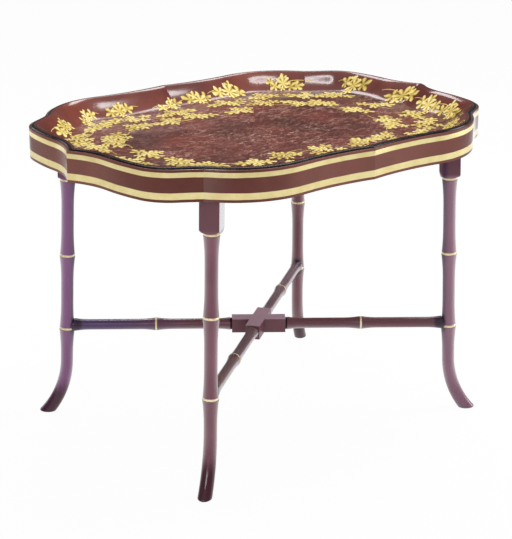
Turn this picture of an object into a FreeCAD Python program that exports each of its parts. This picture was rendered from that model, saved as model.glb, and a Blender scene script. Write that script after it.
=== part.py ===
import FreeCAD, Part
import math
import os

Vec = FreeCAD.Vector
ORIGIN = Vec(0, 0, 0)
UP = Vec(0, 0, 1)
half_turn = 180.0
right_angle = 90.0

# Tray top tea table. Millimetres, floor at zero height, long axis along X.

# Overall
table_length = 750.0
table_width = 546.0
table_height = 520.0

# Heights
edge_proud = 3.0
apron_height = 49.0
block_drop = 58.0
middle_ring_height = 280.0
lower_ring_height = 151.0
stretcher_rise = 5.0

# Plan of the apron's outer face: tangent arcs, one quarter of the outline
end_tip_slant = 33.0
end_hollow_radius = 130.0
end_side_radius = 330.0
shoulder_radius = 70.0
shoulder_drop = 145.9
notch_radius = 150.0
notch_crease_share = 0.66
notch_crease_depth = 1.2
notch_hollow_radius = 400.0
side_tip_slant = 9.7
side_hollow_radius = 475.0
side_bow_radius = 144.0
side_bow_setback = 216.3
apron_thickness = 8.0

# Tray
tray_fit = 0.6
well_depth = 30.0
floor_inset = 44.0
tray_thickness = 4.0
edge_width = 5.0
edge_height = 5.5
edge_round = 1.6

# Legs
leg_setback_x = 28.76
leg_setback_y = 17.92
leg_rake = 1.9
block_side = 31.0
shoulder_height = 12.0
node_top_radius = 12.9
node_low_radius = 12.2
waist_radius = 10.3
flare_length = 42.0
ring_radius = 11.7
ring_width = 4.0
sabre_height = 92.0
sabre_radius = 150.0
foot_radius = 11.4
foot_round = 2.0
leg_tenon_radius = 9.0
leg_tenon_length = 12.0

# Stretcher
cross_length = 90.0
cross_side = 24.0
rail_neck_radius = 7.6
rail_neck_width = 3.0
rail_node_radius = 10.8
rail_waist_radius = 8.8
rail_flare_length = 26.0
rail_ring_distance = 173.0
rail_ring_radius = 9.9
rail_ring_width = 3.4
rail_tenon_radius = 5.0
rail_tenon_length = 9.0
knob_radius = 3.0
knob_drop = 12.0
crossing_shank_radius = 2.0

# Frame inside the apron
glue_gap = 0.2
joint_fit = 0.12
underside_setback = 0.5
corner_block_width = 84.0
corner_block_reach = 34.0
bearer_width = 28.0
bearer_offset = 14.0
bearer_end_clear = 10.0
lap_screw_setback = 12.0
tip_block_width = 52.0
tip_block_depth = 24.0
tip_block_height = 20.0
pad_radius = 9.0
pad_thickness = 1.5
pad_spread_x = 110.0
pad_spread_y = 70.0
screw_head_radius = 4.5
screw_head_height = 3.0
screw_shank_radius = 2.2
leg_screw_length = 40.0

# Levels and places that follow from the sizes above
end_tip = table_length / 2
side_tip = table_width / 2
apron_top = table_height - edge_proud
apron_bottom = apron_top - apron_height
top_ring_height = apron_bottom - block_drop
stretcher_height = lower_ring_height + stretcher_rise
floor_height = table_height - well_depth
tray_underside = floor_height - tray_thickness
frame_top = tray_underside - pad_thickness
frame_bottom = apron_bottom + underside_setback
lap_height = (frame_top + frame_bottom) / 2
lap_screw_length = (frame_top - frame_bottom) * 0.85
rake_slope = math.tan(math.radians(leg_rake))
edge_outer_inset = apron_thickness + tray_fit
edge_inner_inset = edge_outer_inset + edge_width
wall_flare = (floor_inset - edge_inner_inset) / well_depth
wall_width = tray_thickness * math.hypot(1, wall_flare)


def polar(centre, radius, degrees):
    """Point at an angle on a circle in plan."""
    angle = math.radians(degrees)
    return Vec(centre.x + radius * math.cos(angle), centre.y + radius * math.sin(angle), 0)


def bearing(start, end):
    """Angle in plan from one point to another."""
    return math.degrees(math.atan2(end.y - start.y, end.x - start.x))


def meeting(first, first_radius, second, second_radius, hand):
    """Meeting point of two circles: left of the way from first to second for hand 1, right for -1."""
    apart = second - first
    along = (first_radius**2 - second_radius**2 + apart.Length**2) / (2 * apart.Length)
    across = math.sqrt(first_radius**2 - along**2)
    step = Vec(apart).normalize()
    return first + step * along + Vec(-step.y, step.x, 0) * (hand * across)


# Centres of the outline's arcs; a corner keeps its shape when the length or the width changes
end_hollow_centre = polar(Vec(end_tip, 0, 0), end_hollow_radius, end_tip_slant)
end_side_centre = end_hollow_centre - Vec(end_hollow_radius + end_side_radius, 0, 0)
shoulder_rise = side_tip - shoulder_drop - end_hollow_centre.y
end_side_turn = math.degrees(math.asin(shoulder_rise / (end_side_radius - shoulder_radius)))
shoulder_centre = polar(end_side_centre, end_side_radius - shoulder_radius, end_side_turn)
side_hollow_centre = polar(Vec(0, side_tip, 0), side_hollow_radius, right_angle - side_tip_slant)
side_reach = side_hollow_radius + side_bow_radius
side_bow_shift = end_tip - side_bow_setback - side_hollow_centre.x
side_bow_start = right_angle + math.degrees(math.asin(side_bow_shift / side_reach))
side_bow_centre = polar(side_hollow_centre, side_reach, side_bow_start - half_turn)

# A round notch would join shoulder and bow; its crease lies a little deeper, between two flatter hollows
notch_centre = meeting(
    shoulder_centre, shoulder_radius + notch_radius, side_bow_centre, side_bow_radius + notch_radius, -1
)
notch_start = bearing(shoulder_centre, notch_centre)
notch_end = bearing(side_bow_centre, notch_centre)
crease_angle = half_turn + notch_start + (notch_end - notch_start) * notch_crease_share
notch_point = polar(notch_centre, notch_radius + notch_crease_depth, crease_angle)
end_notch_centre = meeting(
    shoulder_centre, shoulder_radius + notch_hollow_radius, notch_point, notch_hollow_radius, -1
)
side_notch_centre = meeting(
    side_bow_centre, side_bow_radius + notch_hollow_radius, notch_point, notch_hollow_radius, 1
)
shoulder_end = bearing(shoulder_centre, end_notch_centre)
bow_end = bearing(side_bow_centre, side_notch_centre)

# Legs stand in from the crease of each notch
leg_x = notch_point.x - leg_setback_x
leg_y = notch_point.y - leg_setback_y
leg_angle = math.degrees(math.atan2(leg_y, leg_x))


def arc_points(centre, radius, start, end):
    """Start, middle and end of one arc of the outline."""
    return [polar(centre, radius, angle) for angle in (start, (start + end) / 2, end)]


def crease_bearing(centre, inset):
    """Angle about a notch hollow's centre at which the hollow, moved inwards, runs into the crease."""
    radius = notch_hollow_radius + inset
    crease = meeting(end_notch_centre, radius, side_notch_centre, radius, -1)
    return half_turn + bearing(crease, centre)


def end_lobe(inset):
    """Arcs from the point of an end to the crease of a notch, moved inwards by the inset."""
    hollow = end_hollow_radius + inset
    notch_hollow = notch_hollow_radius + inset
    crease = crease_bearing(end_notch_centre, inset)
    tip_angle = half_turn + math.degrees(math.asin(end_hollow_centre.y / hollow))
    return [
        arc_points(end_hollow_centre, hollow, tip_angle, half_turn),
        arc_points(end_side_centre, end_side_radius - inset, 0, end_side_turn),
        arc_points(shoulder_centre, shoulder_radius - inset, end_side_turn, shoulder_end),
        arc_points(end_notch_centre, notch_hollow, half_turn + shoulder_end, crease),
    ]


def side_lobe(inset):
    """Arcs from the crease of a notch to the point of a long side, moved inwards by the inset."""
    hollow = side_hollow_radius + inset
    notch_hollow = notch_hollow_radius + inset
    crease = crease_bearing(side_notch_centre, inset)
    tip_angle = -right_angle - math.degrees(math.asin(side_hollow_centre.x / hollow))
    return [
        arc_points(side_notch_centre, notch_hollow, crease, half_turn + bow_end),
        arc_points(side_bow_centre, side_bow_radius - inset, bow_end, side_bow_start),
        arc_points(side_hollow_centre, hollow, side_bow_start - half_turn, tip_angle),
    ]


def placed(arcs, sign_x, sign_y, height):
    """Copy arcs into another quarter of the table, at a height."""
    return [[Vec(sign_x * p.x, sign_y * p.y, height) for p in arc] for arc in arcs]


def backwards(arcs):
    """The same arcs run the other way."""
    return [arc[::-1] for arc in reversed(arcs)]


def arc_edges(arcs):
    """Edges of a run of arcs."""
    return [Part.Arc(*arc).toShape() for arc in arcs]


def outline(inset, height):
    """Closed outline of the whole table, moved inwards by the inset."""
    edges = []
    for sign_x, sign_y in ((1, 1), (-1, 1), (-1, -1), (1, -1)):
        arcs = placed(end_lobe(inset) + side_lobe(inset), sign_x, sign_y, height)
        if sign_x * sign_y < 0:
            arcs = backwards(arcs)
        edges += arc_edges(arcs)
    return Part.Wire(edges)


def outline_prism(inset, bottom, top):
    """Upright solid inside the outline."""
    return Part.Face(outline(inset, bottom)).extrude(UP * (top - bottom))


def flared_solid(*sections):
    """Solid through outlines, each given as an inset and a height."""
    return Part.makeLoft([outline(*section) for section in sections], True, True)


def inner_wall_inset(height):
    """Inset of the tray's inner wall at a height."""
    return floor_inset - wall_flare * (height - floor_height)


def outer_wall_inset(height):
    """Inset of the tray's outer wall at a height."""
    return inner_wall_inset(height) - wall_width


def make_tray():
    """Tray: flat floor, flared wall and a rolled edge that stands over the apron."""
    edge_bottom = table_height - edge_height
    round_start = table_height - edge_round
    over_the_top = table_height + edge_round
    shell = flared_solid(
        (outer_wall_inset(tray_underside), tray_underside),
        (outer_wall_inset(edge_bottom + edge_round), edge_bottom + edge_round),
    )
    edge = outline_prism(edge_outer_inset, edge_bottom, round_start)
    crown = flared_solid((edge_outer_inset, round_start), (edge_outer_inset + edge_round, table_height))
    well = flared_solid(
        (floor_inset, floor_height), (inner_wall_inset(over_the_top), over_the_top)
    )
    return shell.fuse([edge, crown]).cut(well).removeSplitter()


def make_apron_piece(lobe, sign_x, sign_y):
    """One shaped apron piece between a mitre at a point and a joint at a notch."""
    outer = placed(lobe(0), sign_x, sign_y, apron_bottom)
    inner = backwards(placed(lobe(apron_thickness), sign_x, sign_y, apron_bottom))
    first_joint = Part.makeLine(outer[-1][-1], inner[0][0])
    second_joint = Part.makeLine(inner[-1][-1], outer[0][0])
    edges = arc_edges(outer) + [first_joint] + arc_edges(inner) + [second_joint]
    return Part.Face(Part.Wire(edges)).extrude(UP * apron_height)


def revolved(points_and_arcs):
    """Solid turned about the Z axis from a profile of radius and height points.

    A single pair is a straight run to that point. Two pairs are the middle and the end of an arc.
    """
    edges = []
    here = None
    for item in points_and_arcs:
        if isinstance(item[0], tuple):
            middle, end = [Vec(radius, 0, height) for radius, height in item]
            edges.append(Part.Arc(here, middle, end).toShape())
        else:
            end = Vec(item[0], 0, item[1])
            if here is not None:
                edges.append(Part.makeLine(here, end))
        here = end
    edges.append(Part.makeLine(here, edges[0].Vertexes[0].Point))
    return Part.Face(Part.Wire(edges)).revolve(ORIGIN, UP, 2 * half_turn)


def hollow_run(start, end):
    """Slightly hollow arc of a turning between two radius and height points."""
    middle_radius = (3 * min(start[0], end[0]) + max(start[0], end[0])) / 4
    return ((middle_radius, (start[1] + end[1]) / 2), end)


def ring_band(height):
    """Profile of the recessed ring of a joint and the step out to the swelling below it."""
    half = ring_width / 2
    return [
        (ring_radius, height + half),
        (ring_radius, height - half),
        (node_top_radius, height - half),
    ]


def bamboo_stem(ring_heights, bottom):
    """Turned stem: from the first ring down through each joint to a plain bottom."""
    half = ring_width / 2
    lip = node_low_radius - ring_radius
    profile = [(0, ring_heights[0] + half)] + ring_band(ring_heights[0])
    for upper, lower in zip(ring_heights, ring_heights[1:]):
        flare_top = (node_top_radius, upper - half)
        waist_top = (waist_radius, upper - half - flare_length)
        waist_bottom = (waist_radius, lower + half + lip + flare_length)
        flare_bottom = (node_low_radius, lower + half + lip)
        profile += [hollow_run(flare_top, waist_top), waist_bottom, hollow_run(waist_bottom, flare_bottom)]
        profile += ring_band(lower)
    last = ring_heights[-1] - half
    profile += [hollow_run((node_top_radius, last), (waist_radius, last - flare_length))]
    profile += [(waist_radius, bottom), (0, bottom)]
    return revolved(profile)


def sabre_foot(top):
    """Curved foot that swells from the waist to its end, bent towards +X below the given height."""
    turn = math.degrees(math.asin((sabre_height + foot_radius) / sabre_radius))
    centre = Vec(sabre_radius, 0, top)
    bend = [
        centre + Vec(-math.cos(math.radians(angle)), 0, -math.sin(math.radians(angle))) * sabre_radius
        for angle in (0, turn / 2, turn)
    ]
    spine = Part.Wire([Part.Arc(*bend).toShape()])
    end_direction = Vec(math.sin(math.radians(turn)), 0, -math.cos(math.radians(turn)))
    start_ring = Part.Wire([Part.makeCircle(waist_radius, bend[0], Vec(0, 0, -1))])
    end_ring = Part.Wire([Part.makeCircle(foot_radius, bend[2], end_direction)])
    shell = Part.BRepOffsetAPI.MakePipeShell(spine)
    shell.add(start_ring)
    shell.add(end_ring)
    shell.build()
    shell.makeSolid()
    return shell.shape()


def square_block(bottom, top):
    """Square block of a leg with a turned, rounded shoulder at its foot."""
    prism = Part.makeBox(block_side, block_side, top - bottom, Vec(-block_side / 2, -block_side / 2, bottom))
    corner = block_side * math.sqrt(0.5) + 1
    shoulder = revolved([
        (0, bottom),
        (node_low_radius, bottom),
        ((corner - 0.3 * (corner - node_low_radius), bottom + 0.3 * shoulder_height),
         (corner, bottom + shoulder_height)),
        (corner, top),
        (0, top),
    ])
    return prism.common(shoulder)


def leg_axis_radius(height):
    """Distance of a leg's axis from the table's centre, in plan, at a height."""
    return math.hypot(leg_x, leg_y) + rake_slope * (top_ring_height - height)


def corner_angle(sign_x, sign_y):
    """Direction of a corner in plan, from the table's centre."""
    return math.degrees(math.atan2(sign_y * leg_y, sign_x * leg_x))


def turned(shape, angle):
    """Copy of a shape turned about the table's upright axis."""
    copy = shape.copy()
    copy.rotate(ORIGIN, UP, angle)
    return copy


def corner_point(sign_x, sign_y, height):
    """Point on a leg's axis at a height."""
    return polar(ORIGIN, leg_axis_radius(height), corner_angle(sign_x, sign_y)) + UP * height


def countersunk_screw(head, length, grow):
    """Screw pointing down from the middle of its head; grow makes the hole for it."""
    profile = [
        (0, 0),
        (screw_head_radius + grow, 0),
        (screw_shank_radius + grow, -screw_head_height),
        (screw_shank_radius + grow, -length - grow),
        (0, -length - grow),
    ]
    screw = revolved(profile)
    screw.translate(head)
    return screw


def leaned(shape):
    """Shape built about the Z axis, leaned out along +X and set on a leg's axis."""
    shape.rotate(ORIGIN, Vec(0, 1, 0), -leg_rake)
    shape.translate(Vec(leg_axis_radius(top_ring_height), 0, top_ring_height))
    return shape


def rail_tenon(grow):
    """Round tenon of a rail in a leg on +X; grow makes the mortise for it."""
    root = Vec(leg_axis_radius(stretcher_height) - 2 * node_top_radius, 0, stretcher_height)
    length = 2 * node_top_radius - waist_radius + rail_tenon_length + grow
    return Part.makeCylinder(rail_tenon_radius + grow, length, root, Vec(1, 0, 0))


def make_leg():
    """Leg on +X: square block, bamboo stem and sabre foot, leaning out, with a tenon and a mortise."""
    levels = [0, middle_ring_height - top_ring_height, lower_ring_height - top_ring_height]
    sabre_top = sabre_height - top_ring_height
    stem = bamboo_stem(levels, sabre_top)
    block = square_block(ring_width / 2, frame_bottom - top_ring_height + block_side)
    leg = leaned(stem.fuse([block, sabre_foot(sabre_top)]))
    top = Vec(leg_axis_radius(frame_bottom), 0, frame_bottom)
    reach = sabre_height + block_side
    between_floor_and_frame = Part.makeBox(
        2 * reach, 2 * reach, frame_bottom, Vec(top.x - reach, -reach, 0)
    )
    leg = leg.common(between_floor_and_frame)
    sole = min(leg.Faces, key=lambda face: face.CenterOfMass.z)
    leg = leg.makeFillet(foot_round, sole.Edges)
    leg = leg.fuse(Part.makeCylinder(leg_tenon_radius, leg_tenon_length, top, UP))
    hole = countersunk_screw(Vec(top.x, 0, frame_top), leg_screw_length, joint_fit)
    return leg.cut([rail_tenon(joint_fit), hole]).removeSplitter()


def rail_profile(half_length):
    """Profile of half a stretcher rail, from inside its block to a leg's axis."""
    neck_start = cross_length / 2
    neck_end = neck_start + rail_neck_width
    ring_start = rail_ring_distance - rail_ring_width / 2
    ring_end = rail_ring_distance + rail_ring_width / 2
    leg_face = half_length - node_top_radius
    first_waist = (rail_waist_radius, neck_end + rail_flare_length)
    before_ring = (rail_waist_radius, ring_start - rail_flare_length)
    after_ring = (rail_waist_radius, ring_end + rail_flare_length)
    last_waist = (rail_waist_radius, leg_face - rail_flare_length)
    return [
        (0, neck_start - rail_neck_width),
        (rail_neck_radius, neck_start - rail_neck_width),
        (rail_neck_radius, neck_end),
        (rail_node_radius, neck_end),
        hollow_run((rail_node_radius, neck_end), first_waist),
        before_ring,
        hollow_run(before_ring, (rail_node_radius, ring_start)),
        (rail_ring_radius, ring_start),
        (rail_ring_radius, ring_end),
        (rail_node_radius, ring_end),
        hollow_run((rail_node_radius, ring_end), after_ring),
        last_waist,
        hollow_run(last_waist, (rail_node_radius, leg_face)),
        (rail_node_radius, half_length),
        (0, half_length),
    ]


def cross_block(side_grow):
    """Square block in the middle of a rail, along X."""
    side = cross_side + 2 * side_grow
    corner = Vec(-cross_length / 2, -side / 2, stretcher_height - cross_side / 2)
    return Part.makeBox(cross_length, side, cross_side, corner)


def stem_envelope():
    """Round room that a leg's stem on +X needs where a rail meets it."""
    room = middle_ring_height - lower_ring_height
    middle = lower_ring_height - top_ring_height
    stem = Part.makeCylinder(node_top_radius + joint_fit, room, Vec(0, 0, middle - room / 2), UP)
    return leaned(stem)


def make_rail(angle, upper):
    """Diagonal rail, halved where it crosses the other one and scribed to its two legs."""
    half = revolved(rail_profile(leg_axis_radius(stretcher_height)))
    half.rotate(ORIGIN, Vec(0, 1, 0), right_angle)
    half.translate(UP * stretcher_height)
    half = half.cut(stem_envelope()).fuse(rail_tenon(0))
    rail = cross_block(0).fuse([half, turned(half, half_turn)])
    lap_bottom = stretcher_height - cross_side if upper else stretcher_height
    half_space = Part.makeBox(
        cross_length, cross_length, cross_side, Vec(-cross_length / 2, -cross_length / 2, lap_bottom)
    )
    other = turned(cross_block(joint_fit), -2 * angle)
    shank = Part.makeCylinder(
        crossing_shank_radius + joint_fit,
        cross_side - crossing_shank_radius,
        Vec(0, 0, stretcher_height - cross_side / 2),
        UP,
    )
    return turned(rail.cut([other.common(half_space), shank]).removeSplitter(), angle)


def make_crossing_screw():
    """Screw through the halved crossing, with a small turned knob under it."""
    under = stretcher_height - cross_side / 2
    waist = 0.6 * knob_radius
    shank_end = under + cross_side - 2 * crossing_shank_radius
    return revolved([
        (0, under - knob_drop),
        ((0.75 * knob_radius, under - knob_drop + 0.3 * knob_radius),
         (knob_radius, under - knob_drop + knob_radius)),
        ((waist, under - 0.4 * knob_drop), (knob_radius, under - 0.1 * knob_drop)),
        (knob_radius, under),
        (crossing_shank_radius, under),
        (crossing_shank_radius, shank_end),
        (0, shank_end),
    ])


def corner_zone(sign_x, sign_y, bottom, top):
    """Upright box round a leg's top, square to the table's diagonal."""
    near = leg_axis_radius(frame_bottom) - corner_block_reach
    far = end_tip + side_tip
    box = Part.makeBox(
        far, corner_block_width, top - bottom, Vec(near, -corner_block_width / 2, bottom)
    )
    return turned(box, corner_angle(sign_x, sign_y))


def bearer_box(along_x, sign, bottom, top):
    """Straight bearer between two corners, on one side of the table."""
    corner = corner_point(1, 1, frame_bottom)
    clear = leg_tenon_radius + bearer_end_clear
    if along_x:
        half = corner.x - clear
        start = Vec(-half, sign * (corner.y + bearer_offset) - bearer_width / 2, bottom)
        return Part.makeBox(2 * half, bearer_width, top - bottom, start)
    half = corner.y - clear
    start = Vec(sign * (corner.x + bearer_offset) - bearer_width / 2, -half, bottom)
    return Part.makeBox(bearer_width, 2 * half, top - bottom, start)


def lap_screw_heads():
    """Places of the screws through the bearers' laps."""
    corner = corner_point(1, 1, frame_bottom)
    setback = leg_tenon_radius + bearer_end_clear + lap_screw_setback
    first = (corner.x - setback, corner.y + bearer_offset)
    second = (corner.x + bearer_offset, corner.y - setback)
    return [
        Vec(sign_x * x, sign_y * y, frame_top)
        for x, y in (first, second) for sign_x in (1, -1) for sign_y in (1, -1)
    ]


def make_bearer(along_x, sign):
    """Bearer with its ends halved to lie on two corner blocks."""
    bearer = bearer_box(along_x, sign, frame_bottom, frame_top)
    for sign_x, sign_y in ((1, 1), (1, -1), (-1, 1), (-1, -1)):
        bearer = bearer.cut(corner_zone(sign_x, sign_y, frame_bottom, lap_height))
    holes = [countersunk_screw(head, lap_screw_length, joint_fit) for head in lap_screw_heads()]
    return bearer.cut(holes)


def make_corner_block(sign_x, sign_y):
    """Block inside the apron's notch: mortise for a leg's tenon, laps for two bearers."""
    inside = outline_prism(apron_thickness + glue_gap, frame_bottom, frame_top)
    block = inside.common(corner_zone(sign_x, sign_y, frame_bottom, frame_top))
    top = corner_point(sign_x, sign_y, frame_bottom)
    mortise = Part.makeCylinder(
        leg_tenon_radius + joint_fit, leg_tenon_length + joint_fit, top, UP
    )
    laps = [bearer_box(True, sign_y, lap_height, frame_top), bearer_box(False, sign_x, lap_height, frame_top)]
    holes = [countersunk_screw(head, lap_screw_length, joint_fit) for head in lap_screw_heads()]
    holes.append(countersunk_screw(Vec(top.x, top.y, frame_top), leg_screw_length, joint_fit))
    return block.cut(laps + [mortise] + holes)


def make_tip_block(direction_x, direction_y):
    """Glue block behind the mitre at one point of the apron."""
    bottom = frame_bottom
    top = frame_bottom + tip_block_height
    tip = end_tip if direction_x else side_tip
    near = tip - apron_thickness - tip_block_depth
    box = Part.makeBox(
        tip, tip_block_width, tip_block_height, Vec(near, -tip_block_width / 2, bottom)
    )
    box = turned(box, math.degrees(math.atan2(direction_y, direction_x)))
    return outline_prism(apron_thickness + glue_gap, bottom, top).common(box)


def make_tray_pads():
    """Felt pads on the bearers, under the tray's floor."""
    corner = corner_point(1, 1, frame_bottom)
    long_bearer = corner.y + bearer_offset
    end_bearer = corner.x + bearer_offset
    spots = [(pad_spread_x, long_bearer), (end_bearer, pad_spread_y)]
    pads = []
    for x, y in spots:
        for sign_x in (1, -1):
            for sign_y in (1, -1):
                foot = Vec(sign_x * x, sign_y * y, frame_top)
                pads.append(Part.makeCylinder(pad_radius, pad_thickness, foot, UP))
    return Part.makeCompound(pads)


sides_x = {"left": -1, "right": 1}
sides_y = {"front": -1, "back": 1}
leg = make_leg()
nodes = {"tray": make_tray()}
for name_y, sign_y in sides_y.items():
    nodes[f"bearer_{name_y}"] = make_bearer(True, sign_y)
    nodes[f"tip_block_{name_y}"] = make_tip_block(0, sign_y)
    for name_x, sign_x in sides_x.items():
        nodes[f"apron_{name_y}_{name_x}"] = make_apron_piece(side_lobe, sign_x, sign_y)
        nodes[f"apron_{name_x}_{name_y}"] = make_apron_piece(end_lobe, sign_x, sign_y)
        nodes[f"leg_{name_y}_{name_x}"] = turned(leg, corner_angle(sign_x, sign_y))
        nodes[f"corner_block_{name_y}_{name_x}"] = make_corner_block(sign_x, sign_y)
for name_x, sign_x in sides_x.items():
    nodes[f"bearer_{name_x}"] = make_bearer(False, sign_x)
    nodes[f"tip_block_{name_x}"] = make_tip_block(sign_x, 0)
nodes["stretcher_upper"] = make_rail(leg_angle, True)
nodes["stretcher_lower"] = make_rail(-leg_angle, False)
nodes["crossing_screw"] = make_crossing_screw()
nodes["tray_pads"] = make_tray_pads()
nodes["bearer_screws"] = Part.makeCompound(
    [countersunk_screw(head, lap_screw_length, 0) for head in lap_screw_heads()]
)
leg_tops = [corner_point(x, y, frame_bottom) for x in sides_x.values() for y in sides_y.values()]
nodes["leg_screws"] = Part.makeCompound(
    [countersunk_screw(Vec(top.x, top.y, frame_top), leg_screw_length, 0) for top in leg_tops]
)

os.makedirs("parts", exist_ok=True)
for name, shape in nodes.items():
    shape.exportStep(f"parts/{name}.step")
    print(name, "solids", len(shape.Solids), "valid", shape.isValid(), "volume", round(shape.Volume))
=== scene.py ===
import logging
import math
import random
from dataclasses import dataclass
from enum import Enum
from typing import Any, Callable, Collection, Optional, Sequence, Union

import bmesh
import bpy
from mathutils import Matrix, Vector


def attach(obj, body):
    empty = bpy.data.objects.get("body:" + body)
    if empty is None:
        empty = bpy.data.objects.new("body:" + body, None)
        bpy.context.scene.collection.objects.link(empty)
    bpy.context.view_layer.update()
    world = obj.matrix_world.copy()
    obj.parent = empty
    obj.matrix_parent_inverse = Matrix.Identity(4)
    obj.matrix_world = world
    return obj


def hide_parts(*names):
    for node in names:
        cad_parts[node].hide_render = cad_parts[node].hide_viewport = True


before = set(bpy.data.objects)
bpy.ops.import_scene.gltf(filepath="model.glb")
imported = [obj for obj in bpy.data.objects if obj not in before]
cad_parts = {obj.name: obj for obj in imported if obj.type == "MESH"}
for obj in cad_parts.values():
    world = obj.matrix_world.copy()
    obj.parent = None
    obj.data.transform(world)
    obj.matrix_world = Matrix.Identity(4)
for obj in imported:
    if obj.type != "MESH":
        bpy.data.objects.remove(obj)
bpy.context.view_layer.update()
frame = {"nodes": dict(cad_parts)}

log = logging.getLogger("tea_table")

STAND = "stand"
TRAY = "tray"
SMOOTH_LIMIT = math.radians(32.0)
TOUCH = 1e-6
OUTLINE_STEP = "step"
LEAF_TONE = "tone"

Shape = bmesh.types.BMesh
Vert = bmesh.types.BMVert
Pair = tuple[float, float]
Triple = tuple[float, float, float]
Colour = Triple


class Slot(Enum):
    """Material slots of the record."""

    TRAY_LACQUER = "tray_lacquer"
    PAINTED_WOOD = "painted_wood"
    GILDING = "gilding"
    BLACK_EDGE = "black_edge"
    FRAME_WOOD = "frame_wood"
    SCREW_STEEL = "screw_steel"
    PAD_FELT = "pad_felt"


class Value:
    """A shader value that takes part in Python arithmetic."""

    def __init__(self, graph: "Graph", socket: bpy.types.NodeSocket) -> None:
        """Wrap an output socket of a graph's node."""
        self.graph = graph
        self.socket = socket

    def __add__(self, other: "Number") -> "Value":
        """Sum."""
        return self.graph.math("ADD", self, other)

    def __sub__(self, other: "Number") -> "Value":
        """Difference."""
        return self.graph.math("SUBTRACT", self, other)

    def __rsub__(self, other: "Number") -> "Value":
        """Difference from a number."""
        return self.graph.math("SUBTRACT", other, self)

    def __mul__(self, other: "Number") -> "Value":
        """Product."""
        return self.graph.math("MULTIPLY", self, other)

    def __pow__(self, other: "Number") -> "Value":
        """Power."""
        return self.graph.math("POWER", self, other)

    __radd__ = __add__
    __rmul__ = __mul__

    def rise(self, low: float, high: float) -> "Value":
        """Smooth step from 0 at low to 1 at high.

        Args:
            low: value at which the step starts.
            high: value at which the step ends.

        Returns:
            The step as a value from 0 to 1.
        """
        return self.graph.node(
            "ShaderNodeMapRange",
            {"interpolation_type": "SMOOTHSTEP"},
            {"Value": self, "From Min": low, "From Max": high},
        )

    def band(self, low: float, high: float, soft: float) -> "Value":
        """Mask that is 1 between two values.

        Args:
            low: lower end of the band.
            high: upper end of the band.
            soft: half the width of the soft step at each end.

        Returns:
            The mask as a value from 0 to 1.
        """
        return self.rise(low - soft, low + soft) * (1 - self.rise(high - soft, high + soft))


Number = Union[Value, float]


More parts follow.
